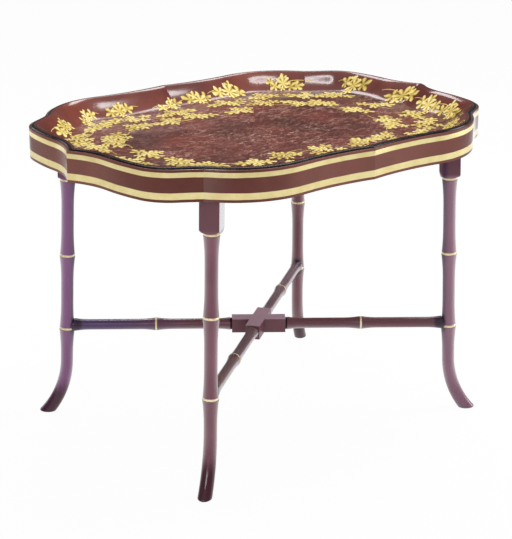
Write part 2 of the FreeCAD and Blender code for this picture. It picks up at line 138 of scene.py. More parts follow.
class Graph:
    """Node tree of one material, written as Python expressions."""

    def __init__(self, tree: bpy.types.NodeTree) -> None:
        """Take over a node tree and empty it."""
        self.tree = tree
        tree.nodes.clear()

    def node(
        self,
        kind: str,
        settings: Optional[dict[str, Any]] = None,
        inputs: Optional[dict[Union[str, int], Any]] = None,
        output: Union[str, int] = 0,
    ) -> Value:
        """Add a node.

        Args:
            kind: Blender's name of the node type.
            settings: properties of the node, set before its sockets; "stops" fills a colour ramp.
            inputs: values or links of its sockets, by name or number.
            output: the socket to return.

        Returns:
            The chosen output.
        """
        made = self.tree.nodes.new(kind)
        for key, value in (settings or {}).items():
            if key == "stops":
                self._fill_ramp(made.color_ramp, value)
            else:
                setattr(made, key, value)
        for key, value in (inputs or {}).items():
            self.feed(made.inputs[key], value)
        return Value(self, made.outputs[output])

    @staticmethod
    def _fill_ramp(ramp: bpy.types.ColorRamp, stops: Sequence[tuple[float, Colour]]) -> None:
        """Give a colour ramp its stops."""
        while len(ramp.elements) < len(stops):
            ramp.elements.new(1.0)
        for element, (place, colour) in zip(ramp.elements, stops):
            element.position = place
            element.color = (*colour, 1.0)

    def feed(self, socket: bpy.types.NodeSocket, value: Any) -> None:
        """Link a value to a socket, or set the socket.

        Args:
            socket: input socket of a node.
            value: a shader value, a number, a colour or a vector.
        """
        if isinstance(value, Value):
            self.tree.links.new(value.socket, socket)
        elif socket.type == "RGBA" and len(value) == 3:
            socket.default_value = (*value, 1.0)
        else:
            socket.default_value = value

    def math(self, operation: str, first: Number, second: Number) -> Value:
        """One Math node on two values."""
        return self.node("ShaderNodeMath", {"operation": operation}, {0: first, 1: second})

    def measure(self, operation: str, first: Value, second: Triple = (0.0, 0.0, 0.0)) -> Value:
        """Number that one Vector Math node makes of two vectors."""
        return self.node("ShaderNodeVectorMath", {"operation": operation}, {0: first, 1: second}, "Value")

    def blend(self, factor: Number, first: Any, second: Any) -> Value:
        """Mix two colours.

        Args:
            factor: share of the second colour.
            first: colour or value at 0.
            second: colour or value at 1.

        Returns:
            The mixed colour.
        """
        sockets = {"Factor": factor, "A": first, "B": second}
        made = self.tree.nodes.new("ShaderNodeMix")
        made.data_type = "RGBA"
        for socket in made.inputs:
            if socket.enabled and socket.name in sockets:
                self.feed(socket, sockets[socket.name])
        result = next(socket for socket in made.outputs if socket.enabled)
        return Value(self, result)

    def tint(self, mask: Value, colour: Any, tint: "Tint") -> Value:
        """Cover a colour with a tint where a mask is 1."""
        return self.blend(mask * tint.share, colour, tint.colour)

    def place(self, scale: Triple = (1.0, 1.0, 1.0)) -> Value:
        """Object coordinates, scaled along each axis."""
        here = self.node("ShaderNodeTexCoord", output="Object")
        return self.node("ShaderNodeMapping", inputs={"Vector": here, "Scale": scale})

    def along(self, axis: str) -> Value:
        """Object coordinate along one axis."""
        here = self.node("ShaderNodeTexCoord", output="Object")
        return self.node("ShaderNodeSeparateXYZ", inputs={0: here}, output=axis)

    def height(self) -> Value:
        """Height above the floor."""
        return self.along("Z")

    def slant(self) -> Value:
        """0 on a face seen straight on and 1 on a face seen edge-on, for gloss."""
        return self.node("ShaderNodeLayerWeight", inputs={"Blend": 0.5}, output="Facing")

    def noise(self, grain: "Grain", where: Optional[Value] = None) -> Value:
        """Noise from 0 to 1, or the mask that its pattern makes of it.

        Args:
            grain: the noise's pattern.
            where: coordinates, unless the object's own are used.

        Returns:
            The noise's value.
        """
        sockets = {"Scale": grain.scale, "Detail": grain.detail, "Roughness": grain.rough}
        place = where or self.place(grain.stretch)
        made = self.node("ShaderNodeTexNoise", inputs={"Vector": place, **sockets})
        return made.rise(*grain.step) if grain.step else made

    def bump(self, height: Value, depth: float) -> Value:
        """Normal of a relief from 0 to 1, of a depth in metres."""
        return self.node("ShaderNodeBump", inputs={"Height": height, "Strength": 1.0, "Distance": depth})

    def surface(self, edge: Optional["EdgeGloss"] = None, where: Number = 1.0, **sockets: Any) -> None:
        """End the graph in a Principled shader.

        Args:
            edge: extra gloss where the surface is seen at a slant.
            where: share of that gloss, from place to place.
            sockets: values or links by socket name, with underscores for spaces.
        """
        shader = self.node(
            "ShaderNodeBsdfPrincipled",
            inputs={name.replace("_", " "): value for name, value in sockets.items()},
        )
        if edge is not None:
            gloss = self.node("ShaderNodeBsdfGlossy", inputs={"Color": (1, 1, 1), "Roughness": edge.rough})
            share = self.slant() ** edge.power * edge.strength * where
            shader = self.node("ShaderNodeMixShader", inputs={0: share, 1: shader, 2: gloss})
        self.close("ShaderNodeOutputMaterial", shader)

    def close(self, kind: str, shader: Value) -> None:
        """Lead a shader to the tree's output node, which is of a kind."""
        self.feed(self.tree.nodes.new(kind).inputs["Surface"], shader)


@dataclass(frozen=True)
class Grain:
    """Noise pattern: cells in a metre, octaves and the share of each finer octave.

    The stretch is a scale along the axes. The step, if given, makes a mask of the noise.
    """

    scale: float
    detail: float
    rough: float
    stretch: Triple = (1.0, 1.0, 1.0)
    step: Optional[Pair] = None


@dataclass(frozen=True)
class Tint:
    """A colour over another one, and its share."""

    colour: Colour
    share: float


@dataclass(frozen=True)
class EdgeGloss:
    """Varnish that shines at a slant: its strength edge-on, how soon it fades and its roughness."""

    strength: float
    power: float
    rough: float


@dataclass(frozen=True)
class Finish:
    """A finish that is made into one material when it is first used."""

    name: str

    def material(self) -> bpy.types.Material:
        """The finish's material.

        Returns:
            The material of this name, made if it isn't there yet.
        """
        made = bpy.data.materials.get(self.name)
        if made is None:
            made = bpy.data.materials.new(self.name)
            made.use_nodes = True
            self.paint(Graph(made.node_tree))
        return made

    def paint(self, graph: Graph) -> None:
        """Draw the finish's nodes."""
        raise NotImplementedError


@dataclass(frozen=True)
class MaroonPaint(Finish):
    """Maroon paint on shaped wood, under a satin varnish."""

    name: str = "maroon_paint"
    deep: Colour = (0.130, 0.041, 0.033)
    light: Colour = (0.184, 0.063, 0.051)
    gloss: float = 0.20
    shine: float = 0.07
    edge: EdgeGloss = EdgeGloss(0.85, 12.0, 0.12)
    clouds: Grain = Grain(16.0, 4.0, 0.55)
    brush: Grain = Grain(420.0, 2.0, 0.6, (1.0, 1.0, 0.12))
    fine: Grain = Grain(160.0, 2.0, 0.5)
    cloud_step: Pair = (0.25, 0.75)
    brush_share: float = 0.25
    cloud_rough: float = 0.08
    brush_rough: float = 0.04
    relief: float = 0.00004

    def tones(self, graph: Graph) -> tuple[Value, Value, Value]:
        """Colour, roughness and relief of the paint.

        Args:
            graph: the material's graph.

        Returns:
            The colour, the roughness and the height of the surface.
        """
        clouds = graph.noise(self.clouds)
        brush = graph.noise(self.brush)
        tone = clouds.rise(*self.cloud_step) * (1 - self.brush_share) + brush * self.brush_share
        rough = self.gloss + clouds * self.cloud_rough + brush * self.brush_rough
        return graph.blend(tone, self.deep, self.light), rough, graph.noise(self.fine)

    def glossy_parts(self, graph: Graph) -> Number:
        """Share of the edge gloss from place to place: all of it, unless a finish says otherwise."""
        return 1.0

    def paint(self, graph: Graph) -> None:
        """Draw the paint."""
        colour, rough, relief = self.tones(graph)
        graph.surface(
            Base_Color=colour,
            Roughness=rough,
            Specular_IOR_Level=self.shine,
            Normal=graph.bump(relief, self.relief),
            edge=self.edge,
            where=self.glossy_parts(graph),
        )


@dataclass(frozen=True)
class Fading:
    """Painted light: the colour cast and brightness that the lamps give one corner of the table, on its
    rail and, if given, its leg.
    """

    towards: Triple
    rail: Colour
    amount: float
    leg: Optional[Colour] = None


@dataclass(frozen=True)
class MauvePaint(MaroonPaint):
    """Mauve paint of the legs and rails, deeper on blocks, rails and feet, with painted light at the
    corners, painted shade on the legs' inner sides and at the rails' ends, and a painted highlight on the
    crossing's top.

    A pair of lengths is where a soft step starts and ends; a triple is a band and its soft edge.
    """

    name: str = "mauve_paint"
    deep: Colour = (0.148, 0.055, 0.076)
    light: Colour = (0.218, 0.086, 0.118)
    block: Tint = Tint((0.130, 0.052, 0.064), 0.75)
    low: Tint = Tint((0.130, 0.052, 0.064), 0.18)
    rail: Tint = Tint((0.128, 0.050, 0.064), 0.70)
    foot: Tint = Tint((0.048, 0.013, 0.021), 0.90)
    # Painted shade on the sides of the left and right legs that face the table's middle.
    shade: Tint = Tint((0.050, 0.026, 0.078), 0.80)
    # Painted highlight on the crossing's top, where light falls from above.
    rubbed: Tint = Tint((0.50, 0.34, 0.42), 0.85)
    # Painted shade where the rails meet the legs.
    collar: Tint = Tint((0.022, 0.012, 0.026), 0.75)
    gloss: float = 0.30
    shine: float = 0.30
    edge: EdgeGloss = EdgeGloss(0.54, 1.4, 0.25)
    # Painted light: colour cast and brightness of the lamps at each corner, on its rail and leg.
    fadings: tuple[Fading, ...] = (
        Fading((-0.795, 0.607, 0.0), (0.062, 0.042, 0.150), 0.80, (0.246, 0.098, 0.264)),
        Fading((0.795, -0.607, 0.0), (0.140, 0.058, 0.074), 0.65, (0.300, 0.158, 0.236)),
        Fading((-0.795, -0.607, 0.0), (0.190, 0.095, 0.100), 0.70),
        Fading((0.795, 0.607, 0.0), (0.200, 0.100, 0.140), 0.70),
    )
    fade: Pair = (0.08, 0.27)
    block_start: Pair = (0.414, 0.420)
    low_end: Pair = (0.080, 0.240)
    shoe_end: Pair = (0.044, 0.080)
    tip_end: Pair = (0.010, 0.080)
    cross_side: Pair = (0.0445, 0.0465)
    cross_rim: Pair = (0.0455, 0.0635)
    cross_top: Pair = (0.1672, 0.1678)
    rail_end: Pair = (0.298, 0.310)
    collar_reach: Triple = (0.298, 0.316, 0.002)
    collar_level: Triple = (0.141, 0.171, 0.003)
    leg_axis: float = 0.3146
    axis_height: float = 0.410
    leg_lean: float = 0.0332
    leg_start: Pair = (0.298, 0.304)
    inner_start: Pair = (0.080, 0.160)
    inner_reach: Pair = (-0.0120, -0.0010)
    shoe_edge: Grain = Grain(90.0, 2.0, 0.5, (1.0, 1.0, 0.3))
    shoe_waver: float = 0.030
    # Painted light: the right foot is less dark, with the right corner's painted light.
    bare_share: float = 0.75
    shoe_dull: float = 0.65
    rail_dull: float = 0.60
    inner_dull: float = 0.85
    tip_dull: float = 0.60
    block_glare: float = 3.2
    block_rough: float = 0.60
    shoe_polish: float = 0.20
    rail_polish: float = 0.04

    def reach(self, graph: Graph) -> Value:
        """Distance from the table's upright middle line."""
        return graph.measure("LENGTH", graph.place((1.0, 1.0, 0.0)))

    def corners(self, graph: Graph) -> list[Value]:
        """For each corner's painted light, 1 at its corner of the table and 0 on the far side of the
        middle.
        """
        places = [graph.measure("DOT_PRODUCT", graph.place(), corner_light.towards) for corner_light in self.fadings]
        return [place.rise(*self.fade) for place in places]

    def rails(self, graph: Graph) -> Value:
        """1 on the rails and 0 on the legs."""
        return 1 - self.reach(graph).rise(*self.rail_end)

    def blocks(self, graph: Graph) -> Value:
        """1 on the square blocks at the tops of the legs."""
        return graph.height().rise(*self.block_start)

    def inner_side(self, graph: Graph) -> Value:
        """Painted shade: 1 along the sides of the left and right legs that face the table's middle."""
        left, right, *_ = self.corners(graph)
        axis = (self.axis_height - graph.height()) * self.leg_lean + self.leg_axis
        inside = 1 - (self.reach(graph) - axis).rise(*self.inner_reach)
        leg = self.reach(graph).rise(*self.leg_start) * graph.height().rise(*self.inner_start)
        return inside * (left + right) * leg

    def shoe(self, graph: Graph) -> Value:
        """1 on the dark feet, with an uneven upper end, and less on the right foot, which carries the right
        corner's painted light.
        """
        _, right, *_ = self.corners(graph)
        uneven = graph.noise(self.shoe_edge) * self.shoe_waver
        low = 1 - (graph.height() + uneven).rise(*self.shoe_end)
        return low * (1 - right * self.bare_share)

    def glossy_parts(self, graph: Graph) -> Number:
        """1 on turned wood, less on feet, side rails and crossing, more on the front leg's block."""
        left, right, front, _ = self.corners(graph)
        blocks = self.blocks(graph)
        side_rails = self.rails(graph) * (left + right)
        tip = 1 - graph.height().rise(*self.tip_end)
        dull = (1 - self.shoe(graph) * self.shoe_dull) * (1 - side_rails * self.rail_dull)
        dull = dull * (1 - self.inner_side(graph) * self.inner_dull) * (1 - tip * self.tip_dull)
        turned = (1 - blocks) * self.reach(graph).rise(*self.cross_side)
        return turned * dull + blocks * front * graph.slant() ** 2 * self.block_glare

    def tones(self, graph: Graph) -> tuple[Value, Value, Value]:
        """Colour, roughness and relief of the paint, with its painted light and shade.

        Args:
            graph: the material's graph.

        Returns:
            The colour, the roughness and the height of the surface.
        """
        colour, rough, relief = super().tones(graph)
        height, reach = graph.height(), self.reach(graph)
        rails, blocks, shoe = self.rails(graph), self.blocks(graph), self.shoe(graph)
        corners = self.corners(graph)
        colour = graph.tint(rails, colour, self.rail)
        # Painted light: each corner's colour cast and brightness on its leg and rail.
        for corner_light, corner in zip(self.fadings, corners):
            lit_colour = graph.blend(rails, corner_light.leg or colour, corner_light.rail)
            colour = graph.blend(corner * corner_light.amount, colour, lit_colour)
        # Painted shade at the rails' ends, next to the legs.
        ends = reach.band(*self.collar_reach) * height.band(*self.collar_level)
        # Painted highlight: the lighter top of the crossing.
        crossing = (1 - reach.rise(*self.cross_rim)) * height.rise(*self.cross_top)
        for mask, tint in (
            (blocks, self.block),
            (1 - height.rise(*self.low_end), self.low),
            (self.inner_side(graph), self.shade),
            (ends, self.collar),
            (crossing, self.rubbed),
            (shoe, self.foot),
        ):
            colour = graph.tint(mask, colour, tint)
        rough = rough + blocks * corners[1] * self.block_rough
        return colour, rough - shoe * self.shoe_polish - rails * self.rail_polish, relief


@dataclass(frozen=True)
class DarkLine(MaroonPaint):
    """Painted shade: a dark ring in the neck of a turning, where its groove lies in shade."""

    name: str = "dark_line"
    deep: Colour = (0.016, 0.008, 0.010)
    light: Colour = (0.034, 0.016, 0.020)
    gloss: float = 0.45
    shine: float = 0.15
    edge: EdgeGloss = EdgeGloss(0.10, 3.0, 0.30)


@dataclass(frozen=True)
class GiltPaint(Finish):
    """Aged gilding with a soft sheen."""

    name: str = "gilt_paint"
    pale: Colour = (0.84, 0.725, 0.37)
    warm: Colour = (0.75, 0.615, 0.27)
    rubbed: Tint = Tint((0.30, 0.17, 0.07), 0.35)
    patches: Grain = Grain(42.0, 4.0, 0.6, step=(0.30, 0.75))
    specks: Grain = Grain(420.0, 3.0, 0.6)
    worn_step: Pair = (0.66, 0.82)
    metal: float = 0.25
    rough: float = 0.34
    speck_rough: float = 0.14
    shine: float = 0.30
    relief: float = 0.00003

    def tones(self, graph: Graph) -> tuple[Value, Value]:
        """Colour and relief of the gilding.

        Args:
            graph: the material's graph.

        Returns:
            The colour and the height of the gilding.
        """
        specks = graph.noise(self.specks)
        colour = graph.blend(graph.noise(self.patches), self.pale, self.warm)
        return graph.tint(specks.rise(*self.worn_step), colour, self.rubbed), specks

    def paint(self, graph: Graph) -> None:
        """Draw the gilding."""
        colour, specks = self.tones(graph)
        graph.surface(
            Base_Color=colour,
            Roughness=self.rough + specks * self.speck_rough,
            Metallic=self.metal,
            Specular_IOR_Level=self.shine,
            Normal=graph.bump(specks, self.relief),
        )


@dataclass(frozen=True)
class RingGilding(GiltPaint):
    """Paler gilding of the rings, worn to cream."""

    name: str = "ring_gilding"
    pale: Colour = (0.97, 0.90, 0.66)
    warm: Colour = (0.78, 0.62, 0.27)
    patches: Grain = Grain(110.0, 4.0, 0.6, step=(0.30, 0.75))


@dataclass(frozen=True)
class LeafGilding(GiltPaint):
    """Gilding of the foliage, shaded from lobe to lobe by a tone that the leaves carry."""

    name: str = "leaf_gilding"
    stops: tuple[tuple[float, Colour], ...] = (
        (0.32, (0.13, 0.070, 0.015)),
        (0.54, (0.61, 0.42, 0.090)),
        (0.75, (0.89, 0.71, 0.21)),
        (0.98, (0.97, 0.86, 0.43)),
    )
    specks: Grain = Grain(380.0, 3.0, 0.6)
    speck_tone: float = 0.45
    metal: float = 0.10
    rough: float = 0.32
    speck_rough: float = 0.16
    shine: float = 0.15
    relief: float = 0.00006

    def tones(self, graph: Graph) -> tuple[Value, Value]:
        """Colour and relief of the leaves, with darker veins and middles.

        Args:
            graph: the material's graph.

        Returns:
            The colour and the height of the gilding.
        """
        specks = graph.noise(self.specks)
        tone = graph.node("ShaderNodeAttribute", {"attribute_name": LEAF_TONE}, output="Fac")
        shade = tone + (specks - 0.5) * self.speck_tone
        return graph.node("ShaderNodeValToRGB", {"stops": self.stops}, {"Fac": shade}), specks


@dataclass(frozen=True)
class BandedPaint(MaroonPaint):
    """Maroon paint of the apron with gilt bands, with painted shade near the creases over the legs, painted
    light far from them and a painted highlight beside the left creases.
    """

    name: str = "banded_paint"
    bands: tuple[Pair, Pair] = ((0.4725, 0.4825), (0.5055, 0.5130))
    band_soft: float = 0.00025
    band_rough: float = 0.06
    waver: Grain = Grain(45.0, 2.0, 0.5)
    waver_reach: float = 0.0008
    gilt: GiltPaint = GiltPaint()
    brush: Grain = Grain(420.0, 2.0, 0.6, (0.10, 0.10, 1.0))
    crease: Triple = (0.27876, 0.20895, 0.0)
    # Painted highlight beside the left creases over the legs.
    bloom: Tint = Tint((0.46, 0.36, 0.34), 0.10)
    bloom_start: Pair = (-0.0003, 0.0003)
    bloom_end: Pair = (0.0, 0.034)
    # Painted shade near the creases and painted light far from them.
    dark: Tint = Tint((0.012, 0.004, 0.004), 0.23)
    pale: Tint = Tint((0.43, 0.24, 0.19), 0.15)
    shade_reach: Pair = (0.05, 0.20)
    edge: EdgeGloss = EdgeGloss(0.85, 5.0, 0.12)
    edge_fall: float = 7.0
    crease_gloss: float = 2.6
    gloss_reach: Pair = (0.012, 0.055)
    relief: float = 0.00005

    def away(self, graph: Graph) -> Value:
        """Distance in plan from the nearest crease over a leg."""
        level = graph.place((1.0, 1.0, 0.0))
        folded = graph.node("ShaderNodeVectorMath", {"operation": "ABSOLUTE"}, {0: level})
        return graph.measure("DISTANCE", folded, self.crease)

    def glossy_parts(self, graph: Graph) -> Number:
        """Little on most of the apron, where only a thin edge shines, and more beside the creases."""
        near = 1 - self.away(graph).rise(*self.gloss_reach)
        return near * self.crease_gloss + (1 - near) * graph.slant() ** self.edge_fall

    def shaded(self, graph: Graph, colour: Value) -> Value:
        """Painted shade near the creases over the legs and painted light far from them."""
        far = self.away(graph).rise(*self.shade_reach)
        return graph.tint(far, graph.tint(1 - far, colour, self.dark), self.pale)

    def creased(self, graph: Graph) -> Value:
        """Painted highlight: 1 beside the left creases on the long sides, weaker away from them."""
        past = graph.along("X") + self.crease[0]
        return past.rise(*self.bloom_start) * (1 - past.rise(*self.bloom_end))

    def paint(self, graph: Graph) -> None:
        """Draw the paint and its bands."""
        colour, rough, relief = self.tones(graph)
        gold, specks = self.gilt.tones(graph)
        height = graph.height() + (graph.noise(self.waver) - 0.5) * self.waver_reach
        lower, upper = (height.band(*band, self.band_soft) for band in self.bands)
        mask = lower + upper
        banded = graph.blend(mask, self.shaded(graph, colour), gold)
        graph.surface(
            Base_Color=graph.tint(self.creased(graph), banded, self.bloom),
            Roughness=rough + mask * self.band_rough,
            Metallic=mask * self.gilt.metal,
            Specular_IOR_Level=self.shine,
            Normal=graph.bump(relief * 0.5 + mask * (0.8 + specks * 0.3), self.relief),
            edge=self.edge,
            where=self.glossy_parts(graph),
        )


@dataclass(frozen=True)
class OxbloodLacquer(Finish):
    """Oxblood lacquer on moulded paper board, worn and finely crackled on the floor."""

    name: str = "oxblood_lacquer"
    deep: Colour = (0.066, 0.008, 0.005)
    red: Colour = (0.178, 0.027, 0.015)
    wall_deep: Colour = (0.130, 0.028, 0.022)
    wall_red: Colour = (0.230, 0.054, 0.034)
    scuff: Tint = Tint((0.60, 0.34, 0.26), 0.85)
    haze: Tint = Tint((0.36, 0.25, 0.24), 0.22)
    wall_start: Pair = (0.4906, 0.4930)
    clouds: Grain = Grain(9.0, 4.0, 0.6)
    bend: Grain = Grain(30.0, 3.0, 0.6)
    bend_reach: Triple = (0.022, 0.022, 0.0)
    stretch: Triple = (0.42, 1.0, 1.0)
    veins: Grain = Grain(52.0, 4.0, 0.55)
    vein_width: float = 0.020
    vein_share: float = 0.75
    streaks: Grain = Grain(190.0, 5.0, 0.68, step=(0.52, 0.67))
    streak_share: float = 0.80
    crackle_scale: float = 55.0
    crackle_width: float = 0.06
    crackle_share: float = 0.14
    patches: Grain = Grain(10.0, 3.0, 0.5, step=(0.36, 0.62))
    least_wear: float = 0.40
    dull: Grain = Grain(8.0, 2.0, 0.5, (0.5, 1.0, 1.0), (0.52, 0.72))
    ripple: Grain = Grain(40.0, 4.0, 0.55)
    tone_step: Pair = (0.3, 0.7)
    rough: float = 0.30
    cloud_rough: float = 0.08
    wall_polish: float = 0.16
    wall_coat: float = 0.60
    ripple_height: float = 0.60
    wear_height: float = 0.25
    relief: float = 0.00030

    def wear(self, graph: Graph) -> Value:
        """Veins, crackle and streaks of the floor, thick in some patches and thin in others."""
        bent = {0: graph.noise(self.bend), 1: self.bend_reach, 2: graph.place()}
        warped = graph.node("ShaderNodeVectorMath", {"operation": "MULTIPLY_ADD"}, bent)
        along = graph.node("ShaderNodeMapping", inputs={"Vector": warped, "Scale": self.stretch})
        ridge = graph.math("ABSOLUTE", graph.noise(self.veins, along) - 0.5, 0.0)
        veins = (1 - ridge.rise(0.0, self.vein_width)) * self.vein_share
        cells = {"Vector": warped, "Scale": self.crackle_scale}
        inside = graph.node("ShaderNodeTexVoronoi", {"feature": "DISTANCE_TO_EDGE"}, cells)
        crackle = (1 - inside.rise(0.0, self.crackle_width)) * self.crackle_share
        streaks = graph.noise(self.streaks, along) * self.streak_share
        patch = self.least_wear + graph.noise(self.patches) * (1 - self.least_wear)
        return (veins + crackle + streaks) * patch

    def paint(self, graph: Graph) -> None:
        """Draw the lacquer."""
        clouds = graph.noise(self.clouds)
        tone = clouds.rise(*self.tone_step)
        wall = graph.height().rise(*self.wall_start)
        lines = self.wear(graph) * (1 - wall)
        dull = graph.noise(self.dull) * (1 - wall)
        floor_colour = graph.tint(dull, graph.blend(tone, self.deep, self.red), self.haze)
        wall_colour = graph.blend(tone, self.wall_deep, self.wall_red)
        height = graph.noise(self.ripple) * self.ripple_height + lines * self.wear_height
        graph.surface(
            Base_Color=graph.tint(lines, graph.blend(wall, floor_colour, wall_colour), self.scuff),
            Roughness=self.rough + clouds * self.cloud_rough - wall * self.wall_polish,
            Specular_IOR_Level=0.20,
            Coat_Weight=wall * self.wall_coat,
            Coat_Roughness=0.09,
            Normal=graph.bump(height, self.relief),
        )


@dataclass(frozen=True)
class BlackLacquer(Finish):
    """Black gloss lacquer of the rolled edge, worn a little along the top."""

    name: str = "black_lacquer"
    black: Colour = (0.010, 0.008, 0.009)
    rubbed: Tint = Tint((0.055, 0.030, 0.026), 0.60)
    worn: Grain = Grain(34.0, 4.0, 0.65, step=(0.52, 0.72))
    fine: Grain = Grain(600.0, 2.0, 0.5)
    rough: float = 0.16
    fine_rough: float = 0.10
    worn_rough: float = 0.08
    relief: float = 0.00004

    def paint(self, graph: Graph) -> None:
        """Draw the lacquer."""
        worn, fine = graph.noise(self.worn), graph.noise(self.fine)
        graph.surface(
            Base_Color=graph.tint(worn, self.black, self.rubbed),
            Roughness=self.rough + fine * self.fine_rough + worn * self.worn_rough,
            Specular_IOR_Level=0.22,
            Normal=graph.bump(fine, self.relief),
        )


@dataclass(frozen=True)
class PlanedWood(Finish):
    """Plain planed hardwood of the inner frame."""

    name: str = "planed_wood"
    early: Colour = (0.47, 0.31, 0.17)
    late: Colour = (0.30, 0.18, 0.09)
    rings: Grain = Grain(95.0, 4.0, 0.6, (0.18, 1.0, 1.0), (0.35, 0.68))
    pores: Grain = Grain(700.0, 2.0, 0.5, (0.08, 1.0, 1.0))
    pore_share: float = 0.20
    rough: float = 0.62
    pore_rough: float = 0.15
    relief: float = 0.0001

    def paint(self, graph: Graph) -> None:
        """Draw the grain."""
        pores = graph.noise(self.pores)
        tone = graph.noise(self.rings) * (1 - self.pore_share) + pores * self.pore_share
        graph.surface(
            Base_Color=graph.blend(tone, self.early, self.late),
            Roughness=self.rough + pores * self.pore_rough,
            Specular_IOR_Level=0.3,
            Normal=graph.bump(pores, self.relief),
        )


@dataclass(frozen=True)
class PlainSteel(Finish):
    """Plain steel of countersunk screws."""

    name: str = "plain_steel"
    bright: Colour = (0.56, 0.56, 0.57)
    dull: Colour = (0.30, 0.28, 0.26)
    stain: Grain = Grain(240.0, 3.0, 0.6)
    stain_step: Pair = (0.45, 0.75)
    rough: float = 0.30
    stain_rough: float = 0.20
    relief: float = 0.00003

    def paint(self, graph: Graph) -> None:
        """Draw the steel."""
        stain = graph.noise(self.stain)
        graph.surface(
            Base_Color=graph.blend(stain.rise(*self.stain_step), self.bright, self.dull),
            Roughness=self.rough + stain * self.stain_rough,
            Metallic=1.0,
            Normal=graph.bump(stain, self.relief),
        )


@dataclass(frozen=True)
class GreenFelt(Finish):
    """Dense felt of the pads under the tray."""

    name: str = "green_felt"
    dark: Colour = (0.020, 0.050, 0.022)
    light: Colour = (0.045, 0.095, 0.045)
    fibres: Grain = Grain(1400.0, 3.0, 0.7)
    relief: float = 0.0003

    def paint(self, graph: Graph) -> None:
        """Draw the felt."""
        fibres = graph.noise(self.fibres)
        graph.surface(
            Base_Color=graph.blend(fibres, self.dark, self.light),
            Roughness=0.92,
            Specular_IOR_Level=0.1,
            Sheen_Weight=0.5,
            Normal=graph.bump(fibres, self.relief),
        )


def finish_mesh(
    name: str,
    bm: Shape,
    finish: Finish,
    slot: Slot,
    body: str,
    replaces: Sequence[str] = (),
    arrises: Collection[int] = (),
) -> None:
    """Make an object from a bmesh and put it on its body.

    Args:
        name: the piece's name.
        bm: the shape, in the table's frame; it is freed.
        finish: the piece's finish.
        slot: the record's slot for it; not used.
        body: the body that it rides on.
        replaces: solids that it stands for.
        arrises: steps of a swept outline at which the shape stays sharp.
    """
    bmesh.ops.recalc_face_normals(bm, faces=bm.faces[:])
    mesh = bpy.data.meshes.new(name)
    for face in bm.faces:
        face.smooth = True
    step = bm.verts.layers.int.get(OUTLINE_STEP)
    for edge in bm.edges:
        steps = {vert[step] for vert in edge.verts} if step else set()
        arris = len(steps) == 1 and steps <= set(arrises)
        edge.smooth = edge.calc_face_angle(0.0) < SMOOTH_LIMIT and not arris
    bm.to_mesh(mesh)
    bm.free()
    mesh.materials.append(finish.material())
    piece = bpy.data.objects.new(name, mesh)
    bpy.context.scene.collection.objects.link(piece)
    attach(piece, body)
    if replaces:
        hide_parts(*replaces)
    log.info("%s: %d faces on %s", name, len(mesh.polygons), body)


def verts_of(geom: Sequence[Any]) -> list[Vert]:
    """The vertices among the parts that an operator made."""
    return [item for item in geom if isinstance(item, Vert)]


def polar(centre: Vector, radius: float, degrees: float) -> Vector:
    """Point at an angle on a level circle."""
    angle = math.radians(degrees)
    return centre + Vector((math.cos(angle), math.sin(angle), 0.0)) * radius


def bearing(start: Vector, end: Vector) -> float:
    """Angle from one point to another, in degrees."""
    return math.degrees(math.atan2(end.y - start.y, end.x - start.x))


def meeting(first: Vector, radius: float, second: Vector, other: float, hand: int) -> Vector:
    """Meeting point of two circles.

    Args:
        first: centre of the first circle.
        radius: radius of the first circle.
        second: centre of the second circle.
        other: radius of the second circle.
        hand: 1 for the point left of the way from first to second, -1 for the point right of it.

    Returns:
        The point.
    """
    apart = second - first
    along = (radius**2 - other**2 + apart.length_squared) / (2 * apart.length)
    across = math.sqrt(radius**2 - along**2)
    ahead = apart.normalized()
    return first + ahead * along + Vector((-ahead.y, ahead.x, 0.0)) * (hand * across)


@dataclass(frozen=True)
class PlanArc:
    """One arc of the plan, with angles in degrees."""

    centre: Vector
    radius: float
    start: float
    end: float

    def point(self, share: float) -> Vector:
        """Point at a share of the way along the arc."""
        return polar(self.centre, self.radius, self.start + (self.end - self.start) * share)

    def length(self) -> float:
        """Length along the arc."""
        return abs(math.radians(self.end - self.start)) * self.radius


Lobe = Callable[[float], list[PlanArc]]


